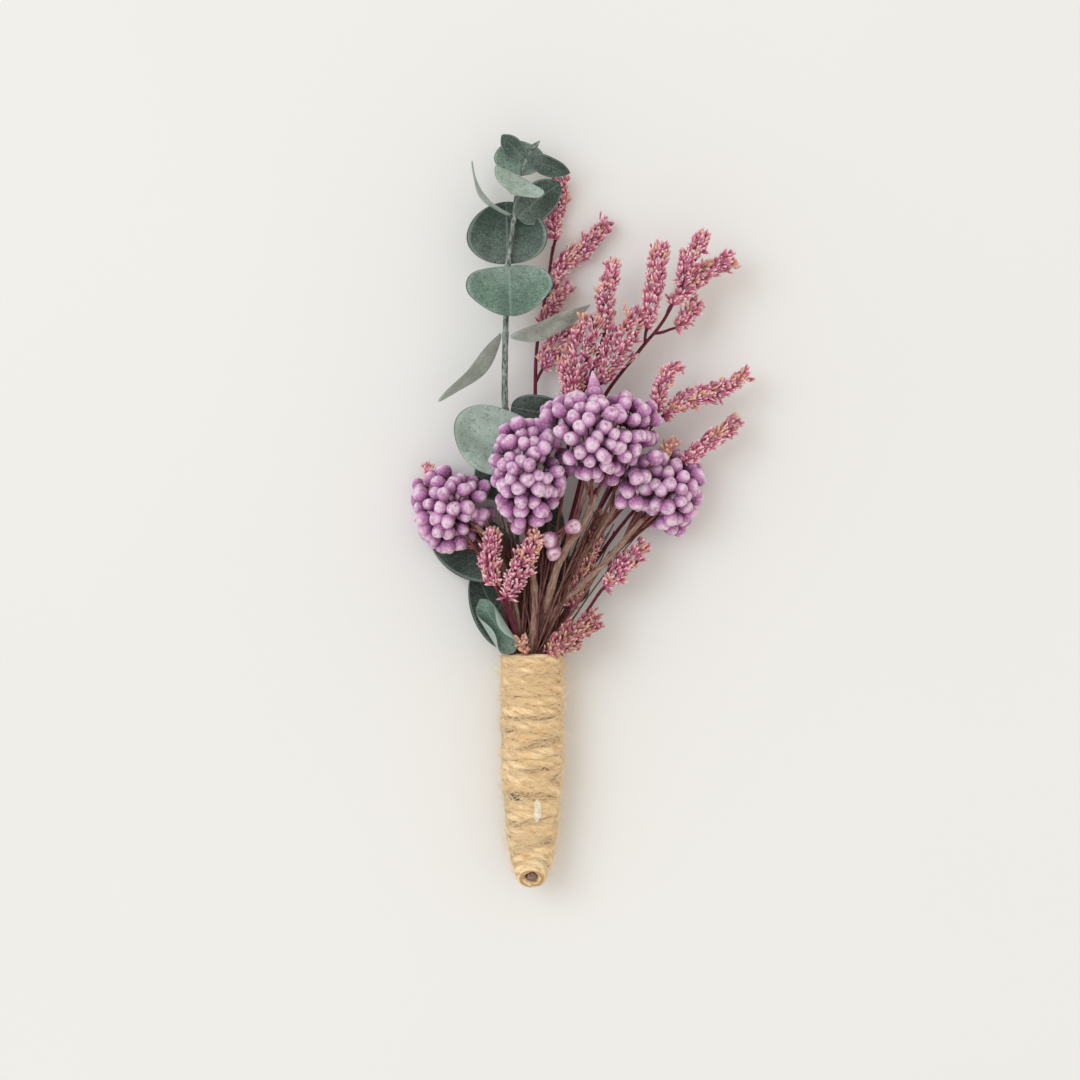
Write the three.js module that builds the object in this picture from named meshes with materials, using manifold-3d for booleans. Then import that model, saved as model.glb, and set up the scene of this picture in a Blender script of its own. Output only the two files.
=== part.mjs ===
// A small bunch of dried flowers, bound with jute twine and lying on its back.
// Frame: +Z up from the table, +Y from the binding towards the flowers, +X to the right.
// The layout below is measured from the binding point, where the stems leave the twine.
import * as THREE from 'three';
import Module from 'manifold-3d';

const wasm = await Module();
wasm.setup();

// ---------------------------------------------------------------- driving sizes, millimetres

const CLEARANCE = 0.3;              // air kept between pieces that would touch
const FAN_LENGTH = 104.4;           // from the binding point to the top of the sprig
const FAN_WIDTH = 67.6;             // across the widest spikes and berries
const FAN_DEPTH = 23.4;             // from the table to the highest berries

const TWINE_DIAMETER = 1.8;
const WRAP_LENGTH = 45.4;
const TAIL_BEND = 9;                // length of the handle that curls up off the table at its end
const TAIL_TIP = 50;                // degrees that the end of the handle is tipped up
const RING_PLAY = 0.15;             // extra room round the main stem, where the inner ring is packed
const WALL_SHARE = 0.9;             // the wound twine is pressed to this share of its own diameter

const MAIN_STEM_RADIUS = 0.95;      // the thick rice flower stem down the middle
const INNER_STEM_RADIUS = 0.8;      // the stems packed round it
const SPRAY_STEM_RADIUS = 0.45;     // sea lavender stems, the outer layer
const TWIG_RADIUS = 0.32;           // the thin end of any stem

const LEAF_THICKNESS = 0.5;
const BERRY_RADIUS = 1.45;
const LOW_BERRY_RADIUS = 1.7;       // the three loose berries under the heads are bigger
const BERRY_SCATTER = 0.12;         // berries differ this much from their usual radius
const HEAD_SCATTER = 0.26;          // berries stand in or out by up to half this share of the dome
const HEAD_LOBES = 0.12;            // the dome bulges and dips this much round its edge
const TURN_SCATTER = 0.5;           // radians by which berries stray round the dome
const FACET_RATIO = 0.9;            // faceted berries are this share of round ones, to stay apart

// ---------------------------------------------------------------- colours

const finish = (color, roughness) => new THREE.MeshStandardMaterial({ color, roughness, metalness: 0 });
const TWINE = finish(0xe3c48f, 0.95);
const SPRIG_STEM = finish(0x8a9084, 0.8);
const LEAF_DARK = finish(0x46594e, 0.7);
const LEAF_LIGHT = finish(0x7f9c8b, 0.72);
const LEAF_PALE = finish(0xb4beb2, 0.75);
const WOODY_STEM = finish(0x6e5145, 0.85);
const BERRY = finish(0xc9a6cf, 0.95);
const SPRAY_STEM = finish(0x6b2c3e, 0.8);
const FLORET = finish(0xc4728a, 0.9);
const FLORET_BROWN = finish(0xb5686c, 0.9);

// ---------------------------------------------------------------- layout helpers

// A layout point, given at the usual fan of 104.4 by 67.6 by 28 and stretched to the fan set above.
const USUAL_FAN = { length: 104.4, width: 67.6, depth: 23.4 };
const at = ([x, y, z]) => new THREE.Vector3(
  x * FAN_WIDTH / USUAL_FAN.width,
  y * FAN_LENGTH / USUAL_FAN.length,
  z * FAN_DEPTH / USUAL_FAN.depth,
);

// A repeatable number from 0 to 1 for each index.
const scatter = (index) => {
  const wave = Math.sin(index * 12.9898) * 43758.5453;
  return wave - Math.floor(wave);
};

const radians = THREE.MathUtils.degToRad;

// ---------------------------------------------------------------- solids

// Closed surface from vertices and triangles, as a solid whose faces point out.
function closedSolid(points, triangles) {
  const build = (faces) => new wasm.Manifold(new wasm.Mesh({
    numProp: 3,
    vertProperties: new Float32Array(points.flatMap((p) => [p.x, p.y, p.z])),
    triVerts: new Uint32Array(faces.flat()),
  }));
  const solid = build(triangles);
  return solid.volume() > 0 ? solid : build(triangles.map(([a, b, c]) => [a, c, b]));
}

// Skin over a row of equal rings, closed by a fan to one pole at each end.
function loft(rings, firstPole, lastPole) {
  const count = rings[0].length;
  const points = [...rings.flat(), firstPole, lastPole];
  const first = points.length - 2;
  const last = points.length - 1;
  const triangles = [];
  for (let side = 0; side < count; side += 1) {
    const next = (side + 1) % count;
    triangles.push([first, next, side]);
    for (let row = 0; row + 1 < rings.length; row += 1) {
      const low = row * count;
      const high = low + count;
      triangles.push([low + side, low + next, high + side]);
      triangles.push([low + next, high + next, high + side]);
    }
    const end = (rings.length - 1) * count;
    triangles.push([last, end + side, end + next]);
  }
  return closedSolid(points, triangles);
}

// Round rings across a curve, with the radius given as a function of the share of its length.
function ringsAlong(curve, radiusAt, sides, steps) {
  const frames = curve.computeFrenetFrames(steps);
  const rings = [];
  for (let step = 0; step <= steps; step += 1) {
    const share = step / steps;
    const centre = curve.getPointAt(share);
    const ring = [];
    for (let side = 0; side < sides; side += 1) {
      const turn = 2 * Math.PI * side / sides;
      ring.push(centre.clone()
        .addScaledVector(frames.normals[step], radiusAt(share) * Math.cos(turn))
        .addScaledVector(frames.binormals[step], radiusAt(share) * Math.sin(turn)));
    }
    rings.push(ring);
  }
  return rings;
}

function rod(curve, radiusAt, sides, steps) {
  return loft(ringsAlong(curve, radiusAt, sides, steps), curve.getPoint(0), curve.getPoint(1));
}

const smooth = (points) => new THREE.CatmullRomCurve3(points, false, 'centripetal');

function ball(radius, centre, detail) {
  const shape = new THREE.IcosahedronGeometry(radius, detail);
  const position = shape.getAttribute('position');
  const keys = new Map();
  const points = [];
  const corner = (index) => {
    const p = new THREE.Vector3().fromBufferAttribute(position, index);
    const key = p.toArray().map((value) => value.toFixed(4)).join();
    if (!keys.has(key)) {
      keys.set(key, points.length);
      points.push(p.add(centre));
    }
    return keys.get(key);
  };
  const triangles = [];
  for (let index = 0; index < position.count; index += 3) {
    triangles.push([corner(index), corner(index + 1), corner(index + 2)]);
  }
  return closedSolid(points, triangles);
}

const largest = (solid) => solid.decompose()
  .reduce((best, part) => (part.volume() > best.volume() ? part : best));

// ---------------------------------------------------------------- the bunch

const bunch = new THREE.Group();
const guards = [];                  // each piece so far, swollen by the clearance
const SLIVER = 0.02;                // faces thinner than this are smoothed away

const boxesMeet = (a, b) => [0, 1, 2].every((axis) => a.min[axis] < b.max[axis] && b.min[axis] < a.max[axis]);

// Adds a piece to the bunch, cut back by the clearance wherever an earlier piece already is.
function place(name, solid, guard, material) {
  const box = solid.boundingBox();
  const near = guards.filter((other) => boxesMeet(box, other.box));
  const cut = near.reduce((left, other) => left.subtract(other.solid), solid);
  const mesh = largest(cut.simplify(SLIVER)).getMesh();
  const geometry = new THREE.BufferGeometry()
    .setAttribute('position', new THREE.BufferAttribute(new Float32Array(mesh.vertProperties), 3))
    .setIndex(new THREE.BufferAttribute(new Uint32Array(mesh.triVerts), 1));
  geometry.computeVertexNormals();
  const piece = new THREE.Mesh(geometry, material);
  piece.name = name;
  bunch.add(piece);
  guards.push({ solid: guard, box: guard.boundingBox() });
}

// ---------------------------------------------------------------- twine-bound handle

// The stems are packed in two rings round the main one, each a clearance and its own radius further out.
const INNER_RING = MAIN_STEM_RADIUS + CLEARANCE + INNER_STEM_RADIUS + RING_PLAY;
const OUTER_RING = INNER_RING + INNER_STEM_RADIUS + CLEARANCE + SPRAY_STEM_RADIUS;
const CHANNEL_RADIUS = OUTER_RING + SPRAY_STEM_RADIUS + CLEARANCE;
const WRAP_RADIUS = CHANNEL_RADIUS + TWINE_DIAMETER;
const AXIS_HEIGHT = WRAP_RADIUS;    // the thick end of the handle lies on the table

// Outer radius along the handle, as shares of its length and of its radius at the binding.
const TAPER = [
  [0, 1], [0.2, 0.985], [0.45, 0.975], [0.58, 0.95],
  [0.65, 0.86], [0.8, 0.8], [0.9, 0.66], [1, 0.46],
];
const WALL = TWINE_DIAMETER * WALL_SHARE;
const TAIL_RADIUS = Math.max(WRAP_RADIUS * TAPER.at(-1)[1], MAIN_STEM_RADIUS + CLEARANCE + WALL);

function wrapRadius(share) {
  const next = TAPER.findIndex(([station]) => station >= share);
  if (next <= 0) return WRAP_RADIUS;
  const [fromShare, fromRadius] = TAPER[next - 1];
  const [toShare, toRadius] = TAPER[next];
  const mix = (share - fromShare) / (toShare - fromShare);
  return Math.max(WRAP_RADIUS * (fromRadius + (toRadius - fromRadius) * mix), TAIL_RADIUS);
}
const channelRadius = (share) => wrapRadius(share) - WALL;

// A place round the handle's middle line, which runs straight back from the binding and then curls up
// along an arc. The angle turns from +X towards the handle's upper side.
function aroundHandle(distance, ringRadius, angle) {
  const straight = WRAP_LENGTH - TAIL_BEND;
  const bendRadius = TAIL_BEND / radians(TAIL_TIP);
  const bend = Math.max(0, distance - straight) / bendRadius;
  const across = ringRadius * Math.cos(angle);
  const up = ringRadius * Math.sin(angle);
  return new THREE.Vector3(
    across,
    -Math.min(distance, straight) - bendRadius * Math.sin(bend) + up * Math.sin(bend),
    AXIS_HEIGHT + bendRadius * (1 - Math.cos(bend)) + up * Math.cos(bend),
  );
}

// How far back a stem of this radius can run, in the ring at this distance from the middle line.
function deepest(ringRadius, stemRadius) {
  const needed = ringRadius + stemRadius + CLEARANCE;
  let distance = 0;
  while (
    distance < WRAP_LENGTH - TAIL_BEND
    && channelRadius((distance + 1) / WRAP_LENGTH) >= needed - CLEARANCE / 2
  ) {
    distance += 1;
  }
  return distance;
}

// A place in one ring of the bundle; the angle is in degrees.
const slot = (ringRadius, angle, distance) => aroundHandle(distance, ringRadius, radians(angle));

// The twine wrapping, one tapered sleeve open at both ends: a ring of wall sections.
function wrapSleeve(swell) {
  const sides = 20;
  const rows = 12;
  const distances = Array.from({ length: rows + 1 }, (_, row) => WRAP_LENGTH * row / rows);
  const section = [
    ...distances.map((distance) => [distance, wrapRadius(distance / WRAP_LENGTH) + swell]),
    ...distances.toReversed().map((distance) => [distance, channelRadius(distance / WRAP_LENGTH) - swell]),
  ];
  const points = [];
  const triangles = [];
  for (let side = 0; side < sides; side += 1) {
    const turn = 2 * Math.PI * side / sides;
    points.push(...section.map(([distance, radius]) => aroundHandle(distance, radius, turn)));
    for (let index = 0; index < section.length; index += 1) {
      const nextIndex = (index + 1) % section.length;
      const here = side * section.length;
      const there = ((side + 1) % sides) * section.length;
      triangles.push([here + index, there + index, here + nextIndex]);
      triangles.push([there + index, there + nextIndex, here + nextIndex]);
    }
  }
  return closedSolid(points, triangles);
}
place('twine_wrap', wrapSleeve(0), wrapSleeve(CLEARANCE * 0.5), TWINE);

// ---------------------------------------------------------------- stems

const INSIDE_STEP = 5;              // usual distance between a stem's points inside the handle
const STEM_STEP = 8;                // longest straight stretch along a stem

// A stem runs back into the handle at its slot, then out through the layout points and thins to a twig.
function stemCurve({ ring, angle, thickness, path }) {
  const depth = ring > 0 ? deepest(ring, thickness) : WRAP_LENGTH;
  const inside = [];
  for (let distance = depth; distance > 0; distance -= Math.min(distance, INSIDE_STEP)) {
    inside.push(slot(ring, angle, distance));
  }
  return smooth([...inside, slot(ring, angle, 0), ...path.map(at)]);
}

function stem(name, material, shape) {
  const curve = stemCurve(shape);
  const thinning = (swell) => (share) => (
    shape.thickness + (shape.end - shape.thickness) * share ** 2 + swell
  );
  const steps = Math.ceil(curve.getLength() / STEM_STEP);
  place(name, rod(curve, thinning(0), 6, steps), rod(curve, thinning(CLEARANCE), 6, steps), material);
}

const WOODY_STEMS = {
  rice_stem_main: {
    ring: 0, angle: 0, thickness: MAIN_STEM_RADIUS, end: 0.7,
    path: [[1.6, 6, 7.4], [3.2, 11, 9.5], [5.6, 19, 12.5], [10.6, 27, 14], [12.6, 32, 14.5]],
  },
  rice_stem_right: {
    ring: INNER_RING, angle: 10, thickness: INNER_STEM_RADIUS, end: 0.5,
    path: [[4.6, 8.5, 8.4], [9, 13.2, 9.8], [13.6, 17.5, 10.8], [17.6, 22, 11.4], [22, 27, 12]],
  },
  rice_stem_centre: {
    ring: INNER_RING, angle: 100, thickness: INNER_STEM_RADIUS, end: 0.5,
    path: [[0.4, 6, 9.8], [0.6, 12, 10.8], [-0.4, 20, 12], [-1.4, 30, 13]],
  },
  rice_stem_back: {
    ring: INNER_RING, angle: 315, thickness: INNER_STEM_RADIUS * 0.85, end: 0.5,
    path: [[3.6, 8, 6], [6.6, 14, 7.5], [13, 24, 10], [19, 33, 12]],
  },
  rice_stem_left: {
    ring: INNER_RING, angle: 170, thickness: INNER_STEM_RADIUS * 0.75, end: 0.4,
    path: [[-2.6, 6, 8], [-3.6, 11, 9], [-6.6, 20, 10], [-11, 26, 10.4]],
  },
};
for (const [name, shape] of Object.entries(WOODY_STEMS)) {
  stem(name, WOODY_STEM, shape);
}

stem('eucalyptus_stem', SPRIG_STEM, {
  ring: INNER_RING, angle: 235, thickness: INNER_STEM_RADIUS, end: TWIG_RADIUS,
  path: [
    [-2, 8, 4.9], [-3, 18, 5.4], [-4.2, 34, 6.6], [-5.4, 50, 8], [-5.2, 67.4, 8.6],
    [-4.8, 78, 8.8], [-3.6, 87.4, 8.8], [-2.6, 95.2, 9], [-1, 99.2, 9.3],
  ],
});

const SPRAY_STEMS = {
  1: {
    angle: 258,
    path: [[-0.4, 14, 4], [0.2, 32, 4.2], [0.6, 50, 3.6], [1, 62, 3.2], [3.2, 75, 2.8], [4.2, 82, 2.6]],
  },
  2: {
    angle: 280, path: [[2.2, 14, 4.6], [5.6, 32, 6.5], [8.6, 48, 8.5], [12.4, 58, 9.5], [14.4, 64, 10]],
  },
  3: {
    angle: 302,
    path: [[4.4, 14, 5], [9, 32, 7.5], [13.6, 50, 9], [21.6, 61, 10], [26, 66.4, 10.5], [29.6, 73.2, 10.5]],
  },
  4: { angle: 324, path: [[6.5, 12, 6], [13, 28, 8], [20, 40, 9.5], [24.4, 46.5, 10]] },
  5: { angle: 346, path: [[8.5, 12, 5.6], [18, 26, 7.6], [26, 35, 9]] },
  7: { angle: 120, path: [[-3.4, 5, 10.4], [-5.2, 10.5, 11.2]] },
  8: { angle: 30, path: [[6.5, 4, 8.4], [9.8, 7.2, 8.6], [13.5, 12.5, 9]] },
};
for (const [number, { angle, path }] of Object.entries(SPRAY_STEMS)) {
  stem(`limonium_${number}_stem`, SPRAY_STEM, {
    ring: OUTER_RING, angle, thickness: SPRAY_STEM_RADIUS, end: TWIG_RADIUS, path,
  });
}

// ---------------------------------------------------------------- eucalyptus leaves

// How fast a leaf narrows towards its ends.
const ROUND_LEAF = 0.5;
const POINTED_LEAF = 0.8;

// A leaf grows from base to tip. Across its midrib it is rolled up like part of a tube, by the cup angle
// at each edge. Roll turns it about its midrib, and arch bows the midrib out of the leaf's plane.
function leafSolid(leaf, swell) {
  const base = at(leaf.base);
  const tip = at(leaf.tip);
  const along = tip.clone().sub(base);
  const length = along.length();
  along.normalize();
  const level = new THREE.Vector3().crossVectors(along, new THREE.Vector3(0, 0, 1)).normalize();
  const side = level.applyAxisAngle(along, radians(leaf.roll ?? 0));
  const face = new THREE.Vector3().crossVectors(side, along).normalize();
  const half = leaf.width / 2;
  const bend = half / radians(leaf.cup ?? 20);
  const surface = (share, across, lift) => {
    const outline = (half + swell) * Math.sin(Math.PI * share ** 0.8) ** (leaf.taper ?? ROUND_LEAF);
    const turn = across * outline / bend;
    const arch = (leaf.arch ?? 0) * length * 4 * share * (1 - share);
    return base.clone()
      .addScaledVector(along, share * length + (share - 0.5) * 2 * swell)
      .addScaledVector(side, (bend - lift) * Math.sin(turn))
      .addScaledVector(face, arch + lift + (bend - lift) * (1 - Math.cos(turn)));
  };
  const rows = 8;
  const columns = [-1, -0.5, 0, 0.5, 1];
  const thickness = LEAF_THICKNESS / 2 + swell;
  const rings = [];
  for (let row = 1; row < rows; row += 1) {
    const share = (1 - Math.cos(Math.PI * row / rows)) / 2;
    rings.push([
      ...columns.map((across) => surface(share, across, Math.abs(across) === 1 ? 0 : thickness)),
      ...columns.slice(1, -1).toReversed().map((across) => surface(share, across, -thickness)),
    ]);
  }
  return loft(rings, surface(0, 0, 0), surface(1, 0, 0));
}

// Nine pairs up the sprig, each at right angles to the pair below it, from the binding to the tip.
const LEAVES = {
  eucalyptus_leaf_1_left: {
    base: [-4.2, 1.6, 3.8], tip: [-11.4, 16.5, 2], width: 9.5, roll: 10, material: LEAF_DARK,
  },
  eucalyptus_leaf_1_front: {
    base: [-3.4, 0.6, 10.6], tip: [-11, 11.2, 8.6],
    width: 10.5, roll: -14, cup: 118, taper: POINTED_LEAF, material: LEAF_LIGHT,
  },
  eucalyptus_leaf_2_left: {
    base: [-3.9, 18.5, 4.9], tip: [-20.5, 24.5, 1], width: 13, material: LEAF_DARK,
  },
  eucalyptus_leaf_2_right: {
    base: [-2.1, 17, 4], tip: [11.5, 12.5, 1.4], width: 12, material: LEAF_DARK,
  },
  eucalyptus_leaf_3_left: { base: [-4.9, 32, 5.6], tip: [-10, 39.5, 4.2], width: 9, material: LEAF_DARK },
  eucalyptus_leaf_3_right: {
    base: [-3.2, 31.5, 7.6], tip: [6, 24.5, 7.8], width: 9, material: LEAF_DARK,
  },
  eucalyptus_leaf_4_front: {
    base: [-5.2, 49, 9.5], tip: [-9.6, 36.4, 11.6], width: 18, material: LEAF_LIGHT,
  },
  eucalyptus_leaf_4_back: { base: [-4.2, 49.6, 7.1], tip: [9, 47.2, 6.8], width: 7, material: LEAF_DARK },
  eucalyptus_leaf_5_left: {
    base: [-6.2, 64.2, 8.4], tip: [-18.8, 50.8, 5.5],
    width: 7.4, roll: -68, arch: 0.05, taper: POINTED_LEAF, material: LEAF_PALE,
  },
  eucalyptus_leaf_5_right: {
    base: [-4.2, 63.4, 8.7], tip: [11.6, 70, 10],
    width: 7.4, roll: 62, arch: 0.04, taper: POINTED_LEAF, material: LEAF_PALE,
  },
  eucalyptus_leaf_6_back: {
    base: [-4.8, 78.2, 7.8], tip: [-5.2, 90.8, 6], width: 16.6, material: LEAF_DARK,
  },
  eucalyptus_leaf_6_front: {
    base: [-4.6, 77.6, 9.9], tip: [-4.2, 67.6, 14.4], width: 17.8, material: LEAF_LIGHT,
  },
  eucalyptus_leaf_7_left: {
    base: [-4.3, 87.9, 8.6], tip: [-12, 98.8, 8],
    width: 6, roll: -88, arch: 0.16, taper: POINTED_LEAF, material: LEAF_PALE,
  },
  eucalyptus_leaf_7_right: {
    base: [-2.9, 87.4, 9.2], tip: [5.6, 94.4, 8],
    width: 8.4, roll: 30, arch: -0.06, material: LEAF_DARK,
  },
  eucalyptus_leaf_8_front: {
    base: [-2, 95.4, 10.1], tip: [-4, 91.8, 14], width: 11.4, taper: 0.6, material: LEAF_PALE,
  },
  eucalyptus_leaf_8_back: {
    base: [-2.8, 95.9, 8.2], tip: [-2.2, 103, 5.6], width: 10.4, material: LEAF_LIGHT,
  },
  eucalyptus_leaf_9_left: {
    base: [-1.6, 99.4, 9.6], tip: [-6, 103.8, 10.4],
    width: 5.4, roll: -40, taper: 0.6, material: LEAF_DARK,
  },
  eucalyptus_leaf_9_right: {
    base: [-0.4, 99.2, 9.4], tip: [7.6, 96.2, 9.8],
    width: 5.2, roll: 40, taper: 0.7, material: LEAF_DARK,
  },
};
for (const [name, leaf] of Object.entries(LEAVES)) {
  place(name, leafSolid(leaf, 0), leafSolid(leaf, CLEARANCE), leaf.material);
}

const budCurve = smooth([[-0.7, 100, 9.8], [0.2, 101.2, 10.2], [1.6, 102.6, 10.8]].map(at));
const budRadius = (swell) => (share) => 0.3 + 0.4 * Math.sin(Math.PI * share ** 0.8) + swell;
const bud = (swell) => rod(budCurve, budRadius(swell), 6, 5);
place('eucalyptus_bud', bud(0), bud(CLEARANCE), LEAF_DARK);

// ---------------------------------------------------------------- rice flower heads

// Berries sit on a dome, evenly spread by the golden angle from the dome's top down past its edge.
const GOLDEN_ANGLE = Math.PI * (3 - Math.sqrt(5));
const DOME_EDGE = -0.4;             // cosine of the angle from the top to the lowest berries

function domeBerries({ centre, radii, facing, count, seed }) {
  const middle = at(centre);
  const turn = new THREE.Quaternion()
    .setFromUnitVectors(new THREE.Vector3(0, 0, 1), new THREE.Vector3(...facing).normalize());
  return Array.from({ length: count }, (_, i) => {
    const height = 1 - (1 - DOME_EDGE) * (i + scatter(seed + i + 900)) / count;
    const reach = Math.sqrt(1 - height * height);
    const angle = i * GOLDEN_ANGLE + TURN_SCATTER * (scatter(seed + i + 700) - 0.5);
    const lobe = 1 + HEAD_LOBES * reach * Math.sin(3 * angle + seed);
    const push = lobe * (1 + HEAD_SCATTER * (scatter(seed + i) - 0.5));
    const direction = new THREE.Vector3(reach * Math.cos(angle), reach * Math.sin(angle), height)
      .applyQuaternion(turn).multiplyScalar(push);
    return {
      centre: direction.multiply(new THREE.Vector3(...radii)).add(middle),
      radius: BERRY_RADIUS * (1 + BERRY_SCATTER * (2 * scatter(seed + i + 500) - 1)),
    };
  });
}

const HEADS = {
  rice_head_left: {
    centre: [-16, 29.2, 8],
    radii: [7, 7.2, 6.2], facing: [-0.3, 0.35, 0.9], count: 60, seed: 1, rests: true,
  },
  rice_head_middle_left: {
    centre: [-0.4, 36.8, 13.6], radii: [6.6, 9.6, 6.6], facing: [-0.1, 0.1, 0.98], count: 78, seed: 101,
  },
  rice_head_top: {
    centre: [12.6, 44, 15.6], radii: [10.6, 7.8, 7.6], facing: [0.05, 0.2, 0.97], count: 100, seed: 201,
  },
  rice_head_right: {
    centre: [26.4, 33, 8.2],
    radii: [6.8, 6.8, 6.8], facing: [0.35, 0, 0.93], count: 64, seed: 401, rests: true,
  },
  rice_head_middle_right: {
    centre: [19.6, 37.6, 11], radii: [6.6, 7.2, 6.6], facing: [0.1, 0, 0.99], count: 62, seed: 301,
  },
};

const placedBerries = [];
const clearOfOthers = (berry) => placedBerries.every(
  (other) => other.centre.distanceTo(berry.centre) > other.radius + berry.radius + CLEARANCE,
);

const unite = (solids) => solids.reduce((all, next) => all.add(next));

for (const [name, head] of Object.entries(HEADS)) {
  const berries = domeBerries(head);
  const middle = at(head.centre);
  const whole = (chosen, swell) => unite([
    ball(1, new THREE.Vector3(), 0)
      .scale(head.radii.map((radius) => radius + swell))
      .translate(middle.toArray()),
    ...chosen.map(({ centre, radius }) => ball(radius * FACET_RATIO + swell, centre, 0)),
  ]);
  const drop = head.rests ? whole(berries, 0).boundingBox().min[2] : 0;
  [middle, ...berries.map(({ centre }) => centre)].forEach((point) => point.setZ(point.z - drop));
  const kept = berries.filter(clearOfOthers);
  place(name, whole(kept, 0), whole(kept, CLEARANCE), BERRY);
  placedBerries.push(...kept);
}

// Three loose berries that hang below the heads on one short forked stalk.
const LOW_BERRIES = [[3.6, 23, 14.6], [4.3, 20.6, 13.4], [8.2, 25.6, 17]];
const STALK_ROOT = 0.86;            // share of the main stem's length where their stalk leaves it
const stalkRoot = stemCurve(WOODY_STEMS.rice_stem_main).getPointAt(STALK_ROOT);
const stalks = (swell) => LOW_BERRIES.map((centre) => rod(
  smooth([stalkRoot, at([6.6, 25.4, 15.2]), at(centre)]),
  () => TWIG_RADIUS + swell,
  6,
  4,
));
const lowBerries = (swell) => unite([
  ...stalks(swell),
  ...LOW_BERRIES.map((centre) => ball(LOW_BERRY_RADIUS + swell, at(centre), 0)),
]);
place('rice_berries_low', lowBerries(0), lowBerries(CLEARANCE), BERRY);

// ---------------------------------------------------------------- sea lavender spikes

// A bare stalk for the first share of its length, then a spindle of florets that narrows to the tip.
function spikeSolid({ path, start, radius, bare }, swell) {
  const points = path.map(at);
  const curve = smooth(start ? [slot(OUTER_RING, start, 8), slot(OUTER_RING, start, 0), ...points] : points);
  const radiusAt = (share) => {
    const bloom = Math.max(0, (share - bare) / (1 - bare));
    return TWIG_RADIUS + (radius - TWIG_RADIUS) * Math.sin(Math.PI * bloom ** 0.75) ** 0.8 + swell;
  };
  return rod(curve, radiusAt, 7, start ? 12 : 8);
}

const SPIKES = {
  limonium_1_tip: {
    path: [[4.6, 83.6, 2.6], [4.6, 87, 2.4], [6, 92, 2.3], [5.8, 96, 2.6]], radius: 2.1, bare: 0.02,
  },
  limonium_1_arch: {
    path: [[3.6, 73, 2.7], [6, 78, 2.5], [11.4, 82.4, 2.5], [15.4, 87, 3]], radius: 2.5, bare: 0.08,
  },
  limonium_1_side: { path: [[1.8, 65.6, 3], [4.6, 70.8, 3], [8, 74, 3]], radius: 1.7, bare: 0.1 },
  limonium_1_low: {
    path: [[1.6, 56.5, 3.6], [4.6, 62.5, 3.8], [7.6, 66.6, 3.8]], radius: 2.9, bare: 0.12,
  },
  limonium_2_tip: {
    path: [[14.7, 64.6, 10], [14.8, 71, 10.4], [16.4, 78.8, 9.8]], radius: 2.6, bare: 0.02,
  },
  limonium_2_left: {
    path: [[8.4, 50.5, 9.9], [8.8, 57, 11], [10.2, 62, 11.4], [12, 67.4, 11]], radius: 4, bare: 0.05,
  },
  limonium_2_right: {
    path: [[13.4, 54, 10.9], [15.8, 59, 12], [19, 64, 12.4], [21.4, 68.8, 12]], radius: 4, bare: 0.05,
  },
  limonium_2_low: {
    path: [[9.6, 46, 9.4], [8.4, 51, 11], [7.2, 55, 11.4], [6.2, 59, 11]], radius: 2.8, bare: 0.1,
  },
  limonium_3_left: {
    path: [[22.6, 63.8, 11.6], [24.2, 73, 12.2], [26, 82, 11.4]], radius: 2.5, bare: 0.08,
  },
  limonium_3_right: {
    path: [[27.6, 69.6, 10.8], [33, 75.4, 10], [40.2, 79.2, 9]], radius: 2.5, bare: 0.05,
  },
  limonium_3_tip: {
    path: [[29.8, 73.8, 12.2], [31.4, 78.8, 12.6], [34.6, 84, 11.8]], radius: 2.6, bare: 0.05,
  },
  limonium_3_side: {
    path: [[26.4, 64.6, 9.2], [29.8, 66.4, 8.8], [33.4, 71, 8.4]], radius: 1.8, bare: 0.3,
  },
  limonium_4_left: {
    path: [[24.6, 47.7, 11], [25.4, 52, 11.6], [27, 56.4, 11.6], [29.8, 57.4, 11]],
    radius: 2.2, bare: 0.1,
  },
  limonium_4_right: {
    path: [[25.6, 47.4, 9.4], [31.6, 51.2, 8.6], [38, 53, 8], [43.4, 56.4, 7.4]],
    radius: 2.5, bare: 0.06,
  },
  limonium_5_tip: {
    path: [[27, 36, 9.4], [33.4, 40.8, 8.6], [37.6, 44, 8], [41.4, 46.8, 7.4]], radius: 2.3, bare: 0.25,
  },
  limonium_6_spray: {
    start: 188, path: [[-6.5, 12, 6.5], [-12, 22, 5.4], [-18.4, 30, 5.4], [-21, 38.4, 6]],
    radius: 1.7, bare: 0.62,
  },
  limonium_7_right: {
    path: [[-5, 11.4, 12.2], [-2, 18, 14.6], [1.6, 24.2, 15.6]], radius: 2.9, bare: 0.04,
  },
  limonium_7_left: { path: [[-6, 11.6, 11.8], [-8.4, 18, 13], [-7.4, 25, 13.4]], radius: 2.4, bare: 0.2 },
  limonium_8_tip: {
    path: [[14.2, 13.4, 9.2], [17.6, 16.8, 9.2], [22.8, 22.2, 8.8]], radius: 2.7, bare: 0.05,
  },
  limonium_9_spray: {
    start: 52, path: [[4.6, 1.2, 10.4], [8.6, 4.2, 10.4], [13.2, 8, 9.8]],
    radius: 3, bare: 0.42, brown: true,
  },
  limonium_10_spray: {
    start: 8, path: [[7.5, 9, 8.1], [10.2, 16, 8.4], [11.8, 21, 8.4], [14.6, 28.4, 8.2]],
    radius: 1.9, bare: 0.5, brown: true,
  },
};
for (const [name, spike] of Object.entries(SPIKES)) {
  place(name, spikeSolid(spike, 0), spikeSolid(spike, CLEARANCE), spike.brown ? FLORET_BROWN : FLORET);
}

// ---------------------------------------------------------------- origin

// The origin is under the middle of the bunch, on the table.
const extent = new THREE.Box3().setFromObject(bunch);
const middle = extent.getCenter(new THREE.Vector3());
bunch.position.set(-middle.x, -middle.y, -extent.min.z);

export default bunch;
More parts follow.
